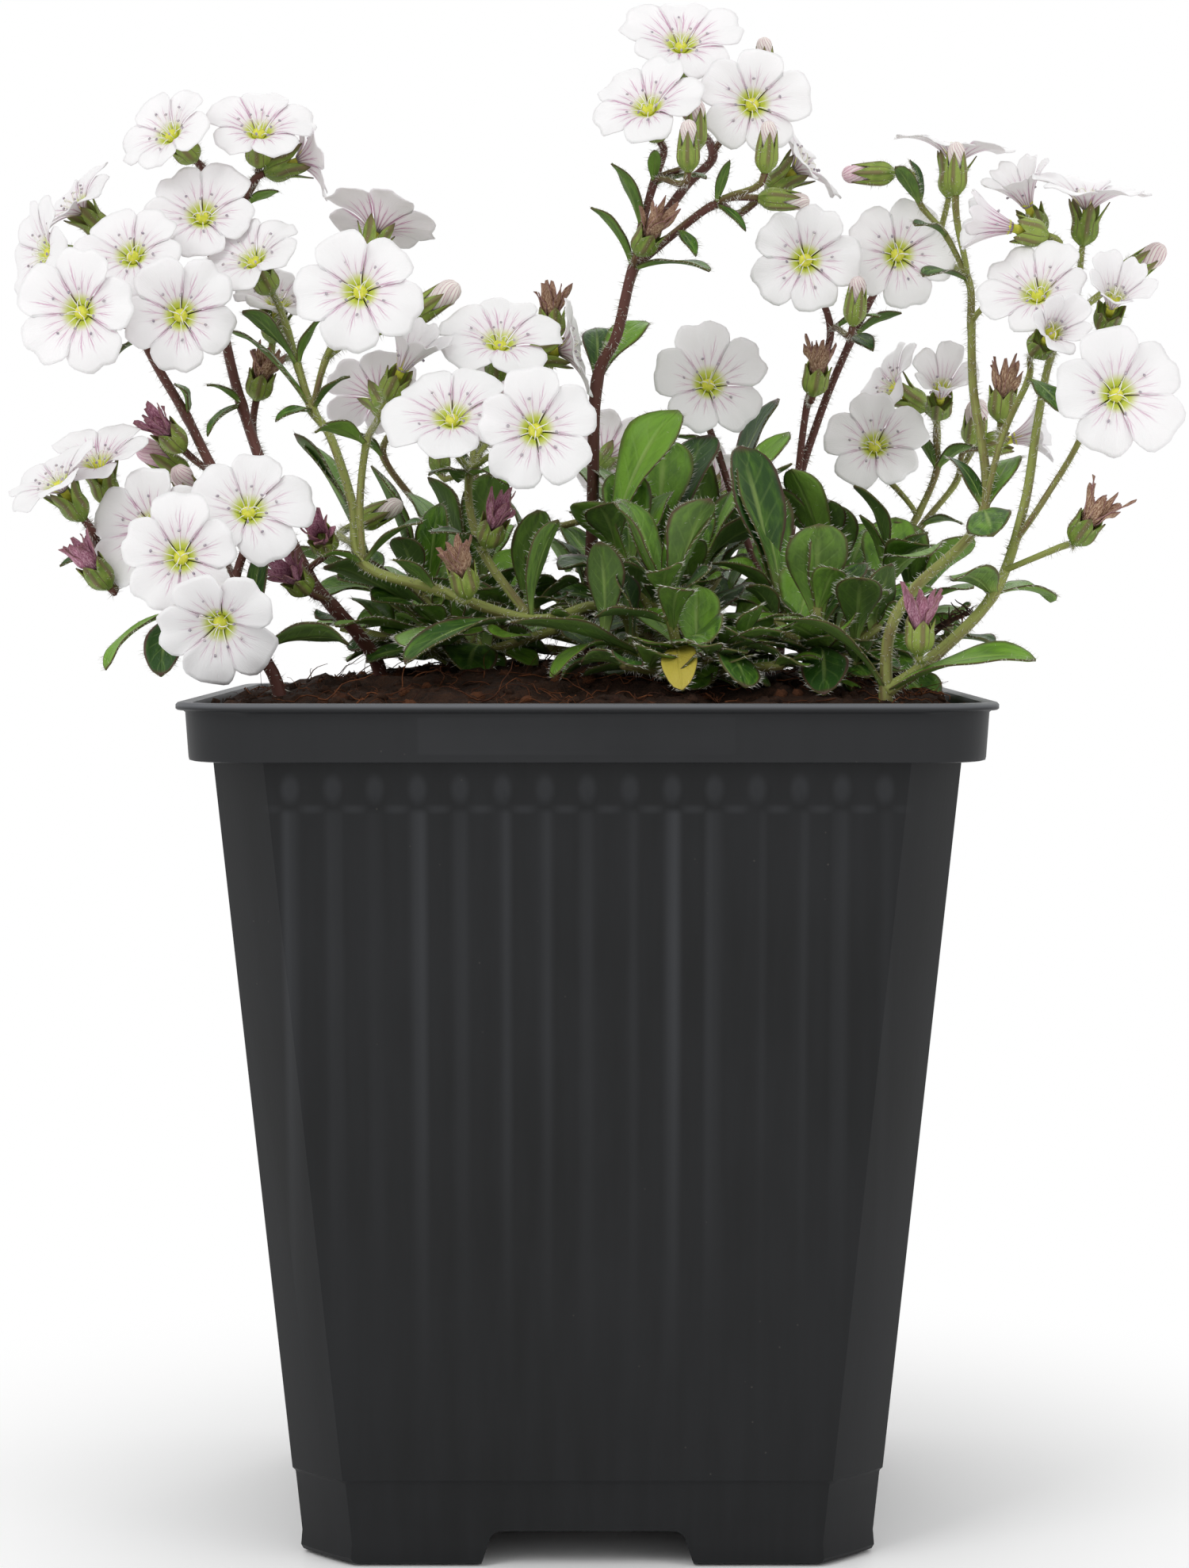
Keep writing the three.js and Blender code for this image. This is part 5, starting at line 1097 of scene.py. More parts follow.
def addHeart(shape, head, origin, axes, spin, finish):
    kind, size = head[1], head[9]
    turn = 2 * math.pi * np.arange(14) / 14
    profile = np.array([(0.55, -1.7), (0.6, -0.6), (0.62, 0.1), (1, 0.35), (1.02, 0.65), (0.82, 1.0),
                        (0.45, 1.25), (0.06, 1.34)])
    radius = profile[:, :1] * heart["dome"] * (1 + 0.06 * np.cos(5 * turn))
    rings = polar(axes, origin, radius, turn, profile[:, 1:])
    addRings(shape, rings, np.stack(np.broadcast_arrays(np.sin(turn), profile[:, 1:], 0.0), -1), finish)
    wide = 0.5 if kind == "open" else 0.3
    for k in range(heart["stamens"]):
        way = spin + 2 * math.pi * (k + 0.3 * chance(k, head[4])) / heart["stamens"]
        reach = size * wide * (0.62 + 0.3 * (k % 2)) * (0.8 + 0.4 * chance(k, head[6]))
        places = ((0.5, 0.0), (0.95, 1.15), (0.75 * reach, 1.9), (reach, 2.15))
        path = [polar(axes, origin, radius, way, height) for radius, height in places]
        centres = throughPoints(path)(np.linspace(0, 1, 7))
        addTube(shape, centres, np.linspace(1.2, 0.7, 7) * heart["filament"], 4, 0.4, finish)
        tip = centres[-1]
        long = unit(polar(axes, 0, 1.0, way + 1.57 + 2 * chance(k, 3), 0.3))
        body = tip + np.linspace(-1, 1, 5)[:, None] * long * heart["anther"] * 1.25
        addTube(shape, body, np.array([0.25, 0.85, 1, 0.85, 0.25]) * heart["anther"], 5, 0.9, finish)
    for k in range(heart["styles"]):
        way = spin + 1 + 2 * math.pi * k / heart["styles"]
        places = ((0.1, 1.1), (0.3, 2.0), (0.95, 2.5), (1.35, 2.15))
        path = [polar(axes, origin, radius, way, height) for radius, height in places]
        centres = throughPoints(path)(np.linspace(0, 1, 8))
        addTube(shape, centres, np.linspace(1.3, 0.7, 8) * heart["filament"], 4, 0.4, finish)


# Leaves: the same base, tip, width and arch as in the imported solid, with a fine outline and a wavy margin

blade = {"thickness": 0.3, "keel": 0.3, "cupping": 0.22, "ripple": 0.1, "cilia": 0.42, "ciliaLength": 0.74,
         "ciliaRadius": 0.038, "downRadius": 0.022, "small": 9}
outlines = {
    "spoon": ((0, 0.2), (0.1, 0.23), (0.25, 0.4), (0.42, 0.7), (0.58, 0.93), (0.7, 1), (0.8, 0.95),
              (0.89, 0.77), (0.95, 0.52), (0.985, 0.26), (1, 0.04)),
    "oval": ((0, 0.24), (0.1, 0.34), (0.25, 0.68), (0.4, 0.93), (0.53, 1), (0.66, 0.93), (0.8, 0.7),
             (0.9, 0.44), (0.96, 0.23), (1, 0.03)),
}


def addLeaf(shape, leaf, finish, hairNumber, outline=None):
    base, along, length, width, arch, roll, seed = leaf[:7]
    bearing = math.degrees(math.atan2(along[0], -along[1]))
    side = turned(levelSide(bearing), along, roll)
    face = np.cross(along, side)
    columns = 9 if length > 5 else 7
    t = np.linspace(0, 1, 15 if length > 5 else 10)
    share = t * (1.45 - 0.45 * t)
    across = np.linspace(-1, 1, columns)[None]
    outline = outline or ("oval" if length < blade["small"] else "spoon")
    spread = np.interp(share, *zip(*outlines[outline]))
    half = np.maximum(0.3 * (1 - share), 0.5 * width * spread)[:, None]
    share = share[:, None]
    wave = share * half * (chance(seed, 5) - 0.5) * across
    cup = blade["cupping"] * half * (across**2 - 0.15) * (0.4 + 0.9 * chance(seed, 8))
    ripple = blade["ripple"] * half * np.sin(9 * share + 6.28 * chance(seed, 9) + across) * abs(across)**3
    rib = -0.1 * np.exp(-(across / 0.16)**2) * (1 - share)
    droop = -0.05 * length * ease(share, 0.75, 1)**2 * chance(seed, 10)
    up = 4 * arch * share * (1 - share) + wave + cup + ripple + rib + droop
    bow = 0.05 * length * (chance(seed, 11) - 0.5) * np.sin(np.pi * share)
    grid = base + share[..., None] * length * along + (half * across + bow)[..., None] * side
    grid = grid + up[..., None] * face
    shade = chance(seed, 12) * 0.95 if len(leaf) < 8 else leaf[7]
    marks = np.stack(np.broadcast_arrays(across, share, shade), -1)
    keel = blade["keel"] * np.exp(-(across / 0.2)**2) * (1 - share)
    thick = blade["thickness"] * (1 - 0.35 * abs(across)) + keel
    addSheet(shape, grid, marks, thick, finish)
    count = max(6, int(2 * length / blade["cilia"]))
    spot = dice.uniform(0.06, 1, count)**0.85 * (len(t) - 1)
    low = np.minimum(spot.astype(int), len(t) - 2)
    part = (spot - low)[:, None]
    column = np.where(dice.random(count) < 0.5, 0, columns - 1)
    roots = grid[low, column] * (1 - part) + grid[low + 1, column] * part
    sign = np.where(column == 0, -1, 1)[:, None]
    ways = side * sign + along * dice.uniform(0.1, 0.9, (count, 1)) + face * dice.normal(0, 0.3, (count, 1))
    sizes = dice.uniform(0.6, 1.2, count) * blade["ciliaLength"]
    addHairs(shape, roots, ways, sizes, blade["ciliaRadius"], hairNumber)
    grown = int(0.8 * length)
    row, column = dice.integers(2, len(t) - 1, grown), dice.integers(1, columns - 1, grown)
    under = np.where(dice.random(grown) < 0.4, -1, 1)[:, None]
    ways = face * under + along * 0.5 + dice.normal(0, 0.3, (grown, 3))
    roots = grid[row, column] + face * under * 0.12
    addHairs(shape, roots, ways, dice.uniform(0.3, 0.6, grown), blade["downRadius"], hairNumber)


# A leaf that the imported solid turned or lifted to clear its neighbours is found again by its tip
sways = [(0, 0), (10, 0), (-10, 0), (0, 12), (0, -10), (20, 6), (-20, 6), (0, 24), (32, 12), (-32, 12),
         (0, 38)]


def solidPoints(node):
    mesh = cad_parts[node].data
    points = np.empty(3 * len(mesh.vertices), np.float32)
    mesh.vertices.foreach_get("co", points)
    return points.reshape(-1, 3) * 1000.0


def grownWay(points, base, length, ways):  # the first way whose tip is a point of the solid, or none
    if points is None:
        return ways[0]
    for way in ways:
        if np.abs(points - (base + way * length)).max(1).min() < 0.02:
            return way
    return None


def handLeaf(points, base, tip, width, arch, seed, *shade):
    chord = np.array(tip, float) - base
    length = float(np.linalg.norm(chord))
    bearing = math.degrees(math.atan2(chord[0], -chord[1]))
    rise = math.degrees(math.asin(chord[2] / length))
    ways = [aim(bearing + turn, min(86, rise + lift)) for turn, lift in sways]
    way = grownWay(points, base, length, ways)
    if way is None:
        return None
    return (base, way, length, width, arch, 30 * (chance(seed, 7) - 0.5), seed, *shade)


# Flower sprays

stalk = {"step": 1.1, "sides": 7, "taper": 0.6, "swell": 0.16, "hairs": 11.0, "hairLength": 0.76,
         "hairRadius": 0.045, "forkRadius": 0.34, "tipRadius": 0.46}
stemSlim = {"left": 0.95, "lower_left": 0.95, "centre": 0.82, "tall": 0.95, "centre_right": 0.85,
            "right": 0.72, "right_back": 0.75, "back": 0.85}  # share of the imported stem's radius
stemTints = {"left": 0.85, "lower_left": 0.8, "centre": 0.3, "tall": 0.75, "centre_right": 0.8,
             "right": 0.32, "right_back": 0.35, "back": 0.5}  # 0 is green and 1 dark red


def addStalk(shape, curve, firstRadius, lastRadius, tint, numbers, nodes=(), taper=1):
    rough = curve(np.linspace(0, 1, 60))
    length = np.linalg.norm(np.diff(rough, axis=0), axis=1).sum()
    count = max(5, int(length / stalk["step"]))
    shares = np.linspace(0, 1, count)
    centres = curve(shares)
    radii = firstRadius + (lastRadius - firstRadius) * shares**taper
    for node in nodes:  # stems swell where leaves and branches leave them
        radii = radii * (1 + stalk["swell"] * np.exp(-(np.linalg.norm(centres - node, axis=1) / 1.1)**2))
    along, across, other = addTube(shape, centres, radii, stalk["sides"], tint, numbers["stem"])
    hairs = int(length * stalk["hairs"])
    spot = dice.uniform(0, count - 1.001, hairs)
    low = spot.astype(int)
    part = (spot - low)[:, None]
    turn = dice.uniform(0, 2 * np.pi, hairs)[:, None]
    out = across[low] * np.cos(turn) + other[low] * np.sin(turn)
    middle = centres[low] * (1 - part) + centres[low + 1] * part
    ways = out + dice.normal(0, 0.28, (hairs, 3)) - along[low] * 0.12
    sizes = dice.uniform(0.45, 1.25, hairs) * stalk["hairLength"]
    roots = middle + out * radii[low][:, None] * 0.95
    addHairs(shape, roots, ways, sizes, stalk["hairRadius"], numbers["hair"])


def growSpray(spray, index):
    shape = Shape()
    names = ["stem", "leaf", "calyx", "bud", "withered", "hair"]
    numbers = {name: i for i, name in enumerate(names)}
    node = "spray_" + spray["name"]
    points = solidPoints(node)
    x, y = spray["foot"]
    routes = {}
    for name, _, _, route in spray["stems"]:
        ground = [[x, y, soilTop(x, y) - soil["rootDepth"]], [x, y, soilTop(x, y) + 1]]
        routes[name] = [*ground, *route] if not routes else route
    tips = {}
    for head in spray["heads"]:
        if head[3] == len(routes[head[2]]) - 1:
            tips.setdefault(head[2], head)
    tint = stemTints[spray["name"]]
    nodes = {(head[2], head[3]) for head in spray["heads"]}
    nodes |= {(leaf[0], leaf[1]) for leaf in spray["leaves"]}
    nodes = [np.array(routes[stem][point], float) for stem, point in sorted(nodes)]
    slim = stemSlim[spray["name"]]
    for name, footRadius, tipRadius, _ in spray["stems"]:
        route = routes[name]
        if name in tips:
            origin, axes = headAxes(tips[name])
            base = origin - axes[2] * calyx["length"]
            span = np.linalg.norm(base - np.array(route[-1], float))
            route = [*route, base - axes[2] * 0.4 * span, base]
            tipRadius = 0.5
        curve = throughPoints(route)
        addStalk(shape, curve, footRadius * slim, tipRadius * slim, tint, numbers, nodes, stalk["taper"])
    for head in spray["heads"]:
        origin, axes = headAxes(head)
        base = origin - axes[2] * calyx["length"]
        if tips.get(head[2]) is not head:
            start = np.array(routes[head[2]][head[3]], float)
            curve = pedicelCurve(start, base, axes[2])
            addStalk(shape, curve, stalk["forkRadius"], stalk["tipRadius"], tint * 0.8, numbers)
        addCalyx(shape, head, numbers["calyx"], numbers["hair"])
        if head[1] == "bud":
            addBud(shape, head, numbers["bud"])
        if head[1] == "spent":
            addWithered(shape, head, numbers["withered"])
    for i, (stem, point, tipX, tipY, tipZ, width, arch) in enumerate(spray["leaves"]):
        base = np.array(routes[stem][point], float)
        leaf = handLeaf(points, base, (tipX, tipY, tipZ), width, arch, 1000 + 50 * index + i)
        if leaf:
            addLeaf(shape, leaf, numbers["leaf"], numbers["hair"])
    for i, (stem, point, tipX, tipY, tipZ, width, arch) in enumerate(spray.get("bracts", [])):
        base = np.array(routes[stem][point], float)
        leaf = handLeaf(None, base, (tipX, tipY, tipZ), width, arch, 3000 + 50 * index + i)
        addLeaf(shape, leaf, numbers["leaf"], numbers["hair"])
    return shape.make(node + "_fine", [finishes[name] for name in names], node)


def growBlooms(spray):
    numbers = sorted({head[0] for head in spray["heads"]} - {0})
    for number in numbers:
        shape = Shape()
        for head in spray["heads"]:
            if head[0] == number:
                addBloom(shape, head, 0, 1)
        node = f"bloom_{spray['name']}_{number}"
        shape.make(node + "_fine", [finishes["petal"], finishes["heart"]], node)


# Leafy tufts

shoot = {"radius": 0.8, "crown": 2.2, "heights": (0.4, 0.7, 0.95), "rises": (14, 34, 56),
         "lengths": (1, 0.9, 0.66), "width": 0.58, "broad": 0.7, "arch": 0.08}


def growTuft(tuft, number):
    shape = Shape()
    names = ["stem", "leaf", "hair"]
    numbers = {name: i for i, name in enumerate(names)}
    node = "tuft_" + tuft["name"]
    points = solidPoints(node)
    fx, fy = tuft["foot"]
    ground = float(soilTop(fx, fy))
    crown = np.array([[fx, fy, ground + height] for height in (-6, -2, 0.6, 1.2)])
    addTube(shape, crown, np.array([1, 1, 0.8, 0.4]) * shoot["crown"], 12, 0.7, numbers["stem"])
    curves = []
    shoots = tuft["shoots"] + tuft["infill"]
    for x, y, z, longest, facing in shoots:
        low = ground + 0.4
        bend = [(2 * fx + x) / 3, (2 * fy + y) / 3, low + 0.45 * (z - low)]
        curve = throughPoints([[fx, fy, low], bend, [x, y, z]])
        curves.append(curve)
        addStalk(shape, curve, shoot["radius"], 0.7 * shoot["radius"], 0.35, numbers)
    for i, (s, share, x, y, z, width, arch) in enumerate(tuft["leaves"]):
        shade = [0.99] if z < 100.9 and x < 12 else []  # the one leaf that has turned yellow
        leaf = handLeaf(points, curves[s](share), (x, y, z), width, arch, 100 * number + i, *shade)
        if leaf:
            addLeaf(shape, leaf, numbers["leaf"], numbers["hair"])
    for i, (s, share, x, y, z, width, arch, shade) in enumerate(tuft["more"]):
        leaf = handLeaf(None, curves[s](share), (x, y, z), width, arch, 2000 + 100 * number + i, shade)
        addLeaf(shape, leaf, numbers["leaf"], numbers["hair"])
    for s, (_, _, _, longest, facing) in enumerate(shoots):
        for k in range(6):
            pair = k // 2
            facet = pair % 2 + 2 * (k % 2)
            seed = 100 * number + 20 * (s + 1) + k
            share = shoot["heights"][pair]
            base = curves[s](share)
            forward = unit(curves[s](share + 0.001) - curves[s](share - 0.001))
            length = longest * shoot["lengths"][pair] * (0.88 + 0.24 * chance(seed, 1))
            bearing = facing + 90 * facet + 30 * (chance(seed, 2) - 0.5)
            rise = shoot["rises"][pair] + 20 * (chance(seed, 3) - 0.5)
            ways = []
            for turn, lift in sways:
                out = aim(bearing + turn, 0)
                out = unit(out - forward * (out @ forward))
                up = math.radians(min(68, rise + lift))
                ways.append(out * math.cos(up) + forward * math.sin(up))
            way = grownWay(points if s < len(tuft["shoots"]) else None, base, length, ways)
            if way is not None:
                roll = 30 * (chance(seed, 4) - 0.5)
                width = shoot["width"] if s < len(tuft["shoots"]) else shoot["broad"]
                leaf = (base, way, length, width * length, shoot["arch"] * length, roll, seed)
                addLeaf(shape, leaf, numbers["leaf"], numbers["hair"], "spoon")
    return shape.make(node + "_fine", [finishes[name] for name in names], node)


for index, spray in enumerate(sprays):
    growSpray(spray, index)
    growBlooms(spray)
print("sprays and blooms grown")
for number, tuft in enumerate(tufts):
    growTuft(tuft, number)
print("tufts grown")


# Growing medium

def soilLumps(x, y, z):
    place = (x * 0.16, y * 0.16, z)
    fine = (x * 0.75, y * 0.75, z + 7)
    return 1.1 * noise.fractal(place, 1.0, 2.0, 4) + 0.45 * noise.fractal(fine, 1.0, 2.0, 3)


def growSoil():
    shape = Shape()
    count = soil["grid"]
    line = np.linspace(-1, 1, count)
    u, v = np.meshgrid(line, line, indexing="ij")
    half, corner = soil["half"], soil["corner"]  # the medium follows the rounded corners of the band
    x, y = u * half, v * half
    overX, overY = np.maximum(abs(x) - half + corner, 0), np.maximum(abs(y) - half + corner, 0)
    far = np.maximum(np.hypot(overX, overY), 1e-6)
    pull = np.where((overX > 0) & (overY > 0), np.maximum(overX, overY) / far, 1)
    x = np.sign(x) * (abs(x) - overX + overX * pull)
    y = np.sign(y) * (abs(y) - overY + overY * pull)
    lumps = np.array([soilLumps(a, b, 1.0) for a, b in zip(x.ravel(), y.ravel())]).reshape(x.shape)
    edge = ease(np.minimum(1 - abs(u), 1 - abs(v)), 0, 0.06)
    z = soilTop(x, y) + 0.2 + lumps * (0.35 + 0.65 * edge) - 0.5 * (1 - edge)
    top = np.stack([x, y, z], -1)
    rim = rimIndices(np.arange(count * count).reshape(count, count))
    rings = [top.reshape(-1, 3)[rim]]
    for height, width in soil["ball"]:
        ring = rings[0] * width
        ring[:, 2] = height
        rings.append(ring)
    size = count * count
    n = len(rim)
    step = np.arange(n)
    after = (step + 1) % n
    faces = [gridFaces(count, count)]
    previous = rim
    for k in range(1, 4):
        here = size + (k - 1) * n + step
        faces.append(np.stack([here, here[after], previous[after], previous], 1))
        previous = here
    centre = size + 3 * n
    faces.append(np.stack([previous[after], previous, np.full(n, centre)], 1))
    points = np.concatenate([top.reshape(-1, 3), *rings[1:], [[0, 0, soil["ball"][-1][0]]]])
    shape.add(points, np.array([0.0, 0.5, 0.5]), faces, 0)
    for i in range(soil["crumbs"]):
        x, y = dice.uniform(-0.96, 0.96, 2) * half
        radius = dice.uniform(0.25, 0.95) ** 1.5
        ground = float(soilTop(x, y)) + soilLumps(x, y, 1.0)
        turn = 2 * np.pi * np.arange(7) / 7
        rise = np.array([-0.9, -0.4, 0.25, 0.8])
        wide = np.array([0.55, 1.0, 0.95, 0.45])
        bumps = dice.uniform(0.7, 1.25, (4, 7))
        out = radius * wide[:, None] * bumps
        up = ground + 0.25 * radius + radius * rise[:, None] * bumps * 0.8
        rings = np.stack([x + out * np.cos(turn), y + out * np.sin(turn), up], -1)
        addRings(shape, rings, np.full((4, 7, 3), (0.0 if i % 4 else 0.45, 0.5, dice.random())), 0)
    for i in range(soil["fibres"]):
        x, y = dice.uniform(-0.95, 0.95, 2) * half
        heading = dice.uniform(0, 2 * np.pi)
        steps = 6
        reach = dice.uniform(0.5, 1.5)
        path = []
        for k in range(steps):
            ground = float(soilTop(x, y)) + soilLumps(x, y, 1.0)
            path.append([x, y, ground + 0.25 + dice.uniform(0, 0.7) + (0.5 * k if i % 9 == 0 else 0)])
            x, y = x + reach * math.cos(heading), y + reach * math.sin(heading)
            x, y = np.clip([x, y], -0.97 * half, 0.97 * half)
            heading += dice.normal(0, 0.5)
        centres = throughPoints(path)(np.linspace(0, 1, 8))
        addTube(shape, centres, np.linspace(1, 0.4, 8) * dice.uniform(0.04, 0.12), 4, 0.5, 0)
        shape.marks[-1] = np.broadcast_to(np.array([1.0, 0.5, dice.random()]), shape.marks[-1].shape)
    scrap = throughPoints(soil["scrap"])
    radii = np.linspace(0.75, 0.3, 12) * dice.uniform(0.75, 1.25, 12)
    addTube(shape, scrap(np.linspace(0, 1, 12)), radii, 7, 0.5, 0)
    for i in range(soil["shreds"]):
        path = [scrap(dice.uniform(0.35, 1.0))]
        way = dice.normal(0, 1, 3)
        for k in range(3):
            path.append(path[-1] + unit(way + dice.normal(0, 0.5, 3)) * dice.uniform(0.5, 1.0))
        addTube(shape, throughPoints(path)(np.linspace(0, 1, 8)), np.linspace(1, 0.4, 8) * 0.13, 4, 0.5, 0)
    return shape.make("soil_fine", [finishes["soil"]], "soil")


growSoil()
print("growing medium laid")


# Pot

pot = {"height": 99, "baseHalf": 33.2, "bodyTopHalf": 42, "wall": 1.4, "cornerCut": 6.2, "bandHeight": 6.6,
       "bandHalf": 45, "bandCorner": 8, "lipHalf": 46, "lipHeight": 0.9, "stepHeight": 10, "stepDepth": 0.3,
       "floor": 5.6, "channelHalf": 11.6, "channelHeight": 4, "drainRadius": 4, "drainSpread": 20,
       "sidePoints": 84, "cornerPoints": 8, "flute": 4.7, "fluteDepth": 0.3, "scallopDepth": 0.6,
       "fluteRows": 22, "panel": (-18.4, 16, 93.6, 97.2), "panelDepth": 0.3,
       "plainRows": 13}  # the last rows, of the lip and the inside, have no flutes
bandBottom = pot["height"] - pot["bandHeight"]


def bodyHalf(z):
    return pot["baseHalf"] + (pot["bodyTopHalf"] - pot["baseHalf"]) * z / bandBottom


def potRing(z, half, corner, bend):  # bend is 0 for a corner cut straight and 1 for a round one
    side = half - corner
    line = np.linspace(-side, side, pot["sidePoints"], endpoint=False)
    arc = np.linspace(0, 1, pot["cornerPoints"], endpoint=False)
    turn = arc * math.pi / 2
    cutX, cutY = half - corner * arc, side + corner * arc
    softX, softY = side + corner * np.cos(turn), side + corner * np.sin(turn)
    cornerX = cutX + (softX - cutX) * max(bend, 0.12)
    cornerY = cutY + (softY - cutY) * max(bend, 0.12)
    x = np.concatenate([np.full(len(line), half), cornerX])
    y = np.concatenate([line, cornerY])
    quarters = [(x, y), (-y, x), (-x, -y), (y, -x)]
    ring = np.concatenate([np.column_stack(quarter) for quarter in quarters])
    return np.column_stack([ring, np.full(len(ring), z)])


def fluteDepth(across, z, half):  # how far the wall is pressed in at a point of one side
    side = half - pot["cornerCut"] - 1.5
    inside = ease(side - abs(across), 0, 2.5)
    number = np.round(across / pot["flute"])
    middle = across - number * pot["flute"]
    groove = np.exp(-(middle / 1.35)**2)
    strength = 0.35 + 0.65 * np.abs(np.sin(number * 2.7 + 1.3))
    long = groove * pot["fluteDepth"] * strength * ease(z, 14, 70) * ease(91 - z, 0, 3)
    scallop = np.exp(-(middle / 1.25)**2) * np.exp(-((z - 89.2) / 1.35)**2) * pot["scallopDepth"]
    arch = 0.14 * np.exp(-((z - 87 - 1.2 * np.cos(2 * np.pi * across / pot["flute"])) / 0.5)**2)
    return inside * (long + scallop + arch)


def growPot():
    shape = Shape()
    cut, top = pot["cornerCut"], pot["height"]
    inner = pot["bandHalf"] - pot["wall"]
    step = pot["stepHeight"]
    wide, soft = pot["bandCorner"], pot["bandCorner"] - 1
    rows = [(0, pot["baseHalf"] - 0.6, cut, 0), (0.25, bodyHalf(0.25) - 0.2, cut, 0),
            (0.8, bodyHalf(0.8), cut, 0)]
    rows += [(z, bodyHalf(z) - pot["stepDepth"], cut, 0) for z in (2.5, 5, 7.5, step - 0.5)]
    rows += [(step - 0.3, bodyHalf(step) - 0.28, cut, 0), (step + 0.05, bodyHalf(step), cut, 0)]
    rows += [(z, bodyHalf(z), cut, 0) for z in np.linspace(step + 1, 82, pot["fluteRows"])]
    rows += [(z, bodyHalf(z), cut, 0) for z in np.linspace(82.5, bandBottom - 0.5, 20)]
    rows += [(bandBottom, pot["bodyTopHalf"], cut, 0),
             (bandBottom + 0.05, pot["bodyTopHalf"] + 0.6, cut + 0.6, 0.3),
             (bandBottom, pot["bandHalf"] - 0.8, wide, 1),
             (bandBottom + 0.12, pot["bandHalf"] - 0.45, wide, 1)]
    rows += [(z, pot["bandHalf"] - 0.4 + 0.35 * (z - bandBottom) / 5.7, wide, 1)
             for z in np.linspace(bandBottom + 0.5, top - pot["lipHeight"] - 0.25, 12)]
    lip, high = pot["lipHalf"], pot["lipHeight"]
    corner = pot["bandCorner"] + 1
    rows += [(top - high - 0.05, pot["bandHalf"] + 0.25, corner, 1), (top - high, lip - 0.2, corner, 1),
             (top - high + 0.18, lip, corner, 1), (top - 0.28, lip, corner, 1),
             (top - 0.06, lip - 0.2, corner, 1), (top, lip - 0.5, corner, 1),
             (top, inner + 0.9, soft, 1), (top - 0.08, inner + 0.5, soft, 1),
             (top - 0.6, inner + 0.35, soft, 1), (bandBottom + 1.4, inner, soft, 1),
             (bandBottom - 1, bodyHalf(bandBottom - 1) - pot["wall"], cut - 0.6, 0),
             (pot["floor"] + 1.2, bodyHalf(pot["floor"] + 1.2) - pot["wall"], cut - 0.6, 0),
             (pot["floor"], bodyHalf(pot["floor"]) - pot["wall"] - 1, cut - 0.6, 0)]
    rings = []
    for z, half, corner, bend in rows:
        ring = potRing(z, half, corner, bend)
        size = pot["sidePoints"] + pot["cornerPoints"]
        for quarter in range(4):
            points = ring[quarter * size:quarter * size + pot["sidePoints"]]
            out = np.array([math.cos(quarter * math.pi / 2), math.sin(quarter * math.pi / 2), 0])
            across = points @ np.array([-out[1], out[0], 0])
            if len(rings) < len(rows) - pot["plainRows"] and step < z < bandBottom and bend == 0:
                points -= out * fluteDepth(across, z, half)[:, None]
            left, right, under, over = pot["panel"]
            if abs(half - pot["bandHalf"]) < 0.45 and bend == 1 and under - 0.3 < z < over + 0.3:
                edge = ease(across, left - 0.4, left + 0.4) * ease(-across, -right - 0.4, -right + 0.4)
                rise = ease(z, under - 0.3, under + 0.3) * ease(-z, -over - 0.3, -over + 0.3)
                points -= out * (pot["panelDepth"] * edge * rise)[:, None]
        rings.append(ring)
    rings = np.array(rings)
    addRings(shape, rings, np.zeros(rings.shape), 0)
    piece = shape.make("pot_fine", [finishes["pot"]], "pot")
    cutters = []
    wide, high = pot["channelHalf"], pot["channelHeight"]
    half = [(wide + 0.9, -1), (wide - 0.2, high - 1.6), (wide - 0.5, high - 0.7), (wide - 1.2, high - 0.1),
            (wide - 2.2, high)]
    section = [(-across, up) for across, up in half] + half[::-1]
    for turn in (0, 1):
        cutter = Shape()
        ends = []
        for far in (-60, 60):
            ring = np.array([(a, far, b) if turn else (far, -a, b) for a, b in section], float)
            ends.append(ring)
        addRings(cutter, np.array(ends), np.zeros((2, len(section), 3)), 0)
        cutters.append(cutter)
    spread, radius = pot["drainSpread"], pot["drainRadius"]
    for x, y in ((0, 0), (1, 0), (-1, 0), (0, 1), (0, -1)):
        cutter = Shape()
        turn = 2 * np.pi * np.arange(28) / 28
        circle = [x * spread + radius * np.cos(turn), y * spread + radius * np.sin(turn)]
        tube = np.array([np.column_stack([*circle, np.full(28, z)]) for z in (-1.0, 9.0)])
        addRings(cutter, tube, np.zeros(tube.shape), 0)
        cutters.append(cutter)
    for cutter in cutters:
        mesh = bpy.data.meshes.new("cutter")
        faces = [list(map(int, face)) for block in cutter.faces for face in block]
        mesh.from_pydata((np.concatenate(cutter.points) * 0.001).tolist(), [], faces)
        tool = bpy.data.objects.new("cutter", mesh)
        bpy.context.scene.collection.objects.link(tool)
        trim = piece.modifiers.new("trim", "BOOLEAN")
        trim.operation, trim.object, trim.solver = "DIFFERENCE", tool, "EXACT"
        bpy.context.view_layer.update()
        done = bpy.data.meshes.new_from_object(piece.evaluated_get(bpy.context.evaluated_depsgraph_get()))
        piece.modifiers.clear()
        piece.data = done
        bpy.data.objects.remove(tool)
    piece.data.set_sharp_from_angle(angle=math.radians(32))
    return piece


growPot()
print("pot moulded")


# Floor, backdrop and light

studio = {"floor": 3.0, "backdrop": 1.0, "ambient": 0.8, "near": 0.04, "far": 0.13}


def addLight(name, place, target, size, power):
    lamp = bpy.data.lights.new(name, "AREA")
    lamp.shape = "RECTANGLE"
    lamp.size, lamp.size_y = size
    lamp.energy = power
    light = bpy.data.objects.new(name, lamp)
    light.location = place
    way = np.array(place) - np.array(target)
    flat = math.hypot(way[0], way[1])
    light.rotation_euler = (math.atan2(flat, way[2]), 0, math.atan2(way[0], -way[1]))
    bpy.context.scene.collection.objects.link(light)


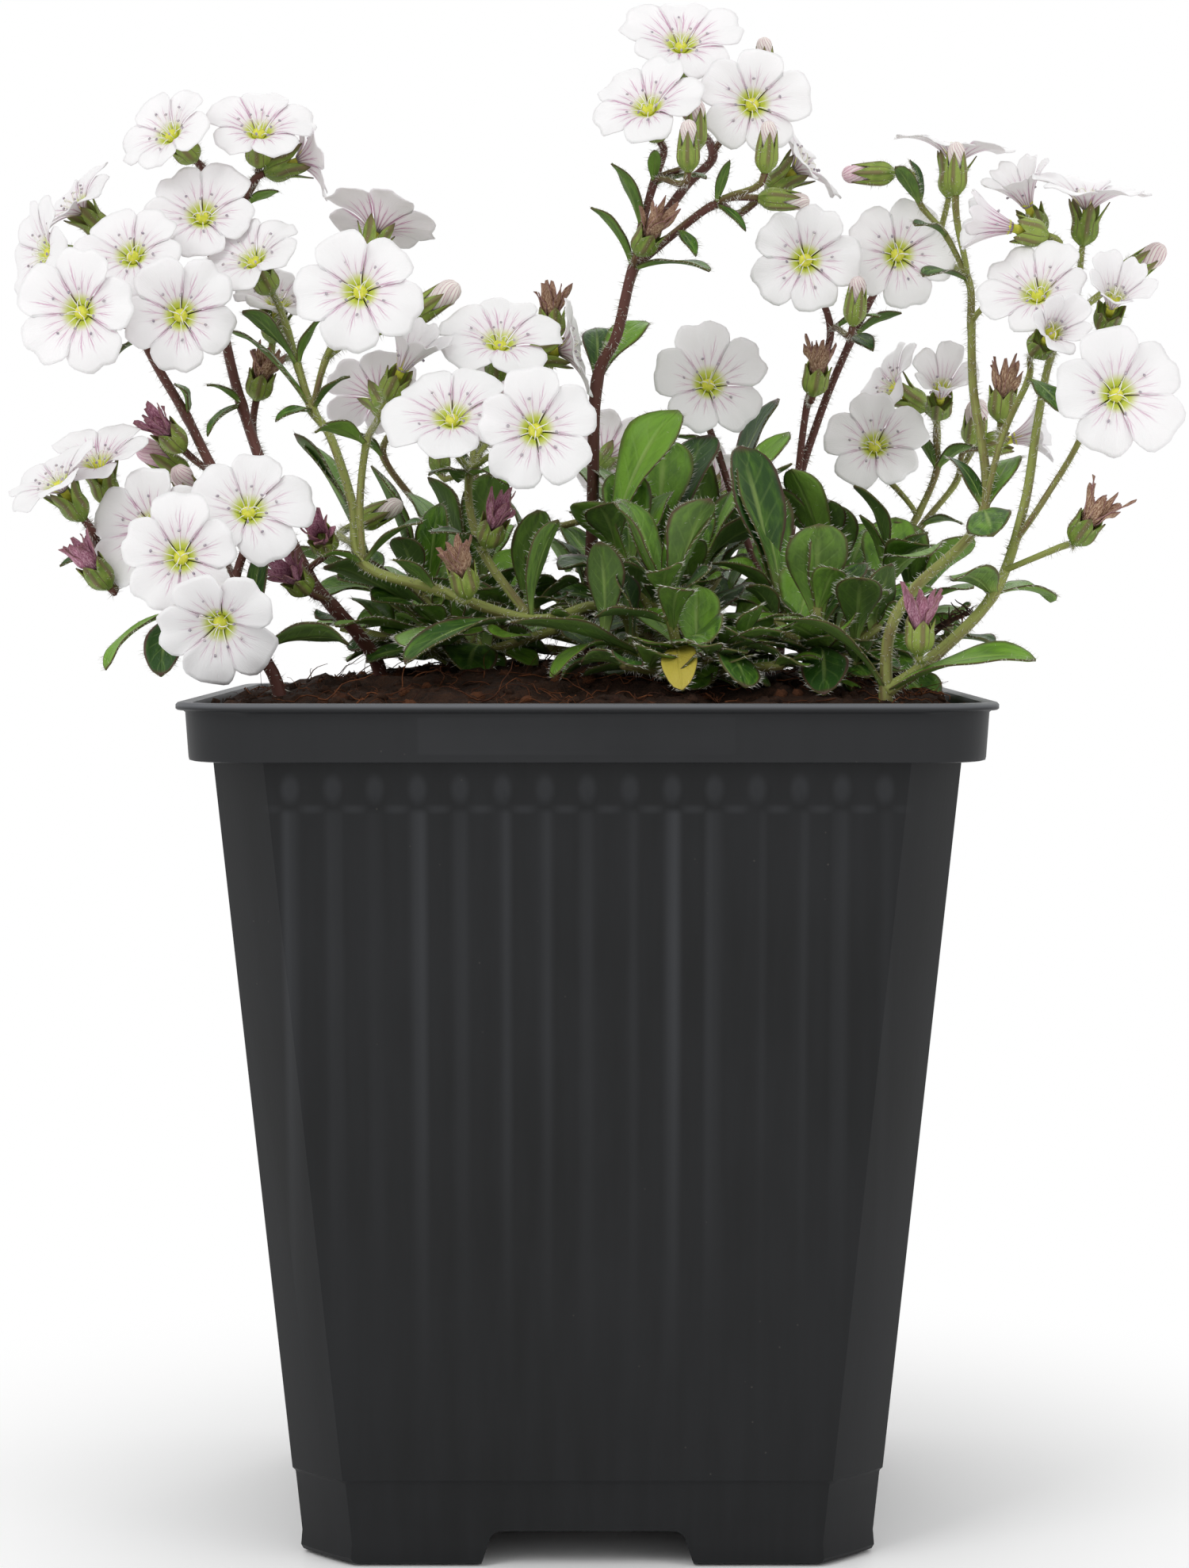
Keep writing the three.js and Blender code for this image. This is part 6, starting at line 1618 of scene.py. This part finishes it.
def stageScene():
    f = Finish("paleFloor")
    cloud = f.noise(f.place(), 3.0)
    white = f.mix(cloud, tone(250, 250, 250), tone(254, 254, 254))
    paper = f.node("ShaderNodeBsdfPrincipled", {}, {"Base Color": white, "Roughness": 0.9 + cloud * 0.05})
    glow = f.node("ShaderNodeEmission", {}, {"Color": (1, 1, 1, 1), "Strength": 1.0})
    reach = f.node("ShaderNodeVectorMath", {"operation": "LENGTH"}, {0: f.place()}, "Value")
    fade = reach.ramp(studio["near"], studio["far"])  # plain white away from the pot's own shadow
    blended = f.node("ShaderNodeMixShader", {}, {0: fade, 1: paper, 2: glow})
    f.node("ShaderNodeOutputMaterial", {}, {"Surface": blended})
    mesh = bpy.data.meshes.new("studioFloor")
    far = studio["floor"]
    mesh.from_pydata([(-far, -far, 0), (far, -far, 0), (far, far, 0), (-far, far, 0)], [], [(0, 1, 2, 3)])
    mesh.materials.append(f.material)
    floor = bpy.data.objects.new("studioFloor", mesh)
    floor.location = (0, 0, -0.0002)
    bpy.context.scene.collection.objects.link(floor)
    world = bpy.data.worlds.new("studioSky")
    world.use_nodes = True
    tree = world.node_tree
    sky = tree.nodes["Background"]
    sky.inputs["Color"].default_value = (1, 1, 1, 1)
    path = tree.nodes.new("ShaderNodeLightPath")
    level = tree.nodes.new("ShaderNodeMapRange")  # white backdrop that lights the plant less than it shows
    level.inputs["To Min"].default_value = studio["ambient"]
    level.inputs["To Max"].default_value = studio["backdrop"]
    tree.links.new(path.outputs["Is Camera Ray"], level.inputs["Value"])
    tree.links.new(level.outputs["Result"], sky.inputs["Strength"])
    bpy.context.scene.world = world
    addLight("keyLight", (-0.45, -0.55, 0.75), (0, 0, 0.1), (0.35, 0.5), 2.2)
    addLight("fillLight", (0.6, -0.5, 0.45), (0, 0, 0.1), (0.3, 0.5), 0.7)
    addLight("backLight", (0.1, 0.7, 0.6), (0, 0, 0.12), (0.6, 0.4), 1.4)
    bpy.context.scene.view_settings.view_transform = "Standard"


stageScene()
print("stage lit")
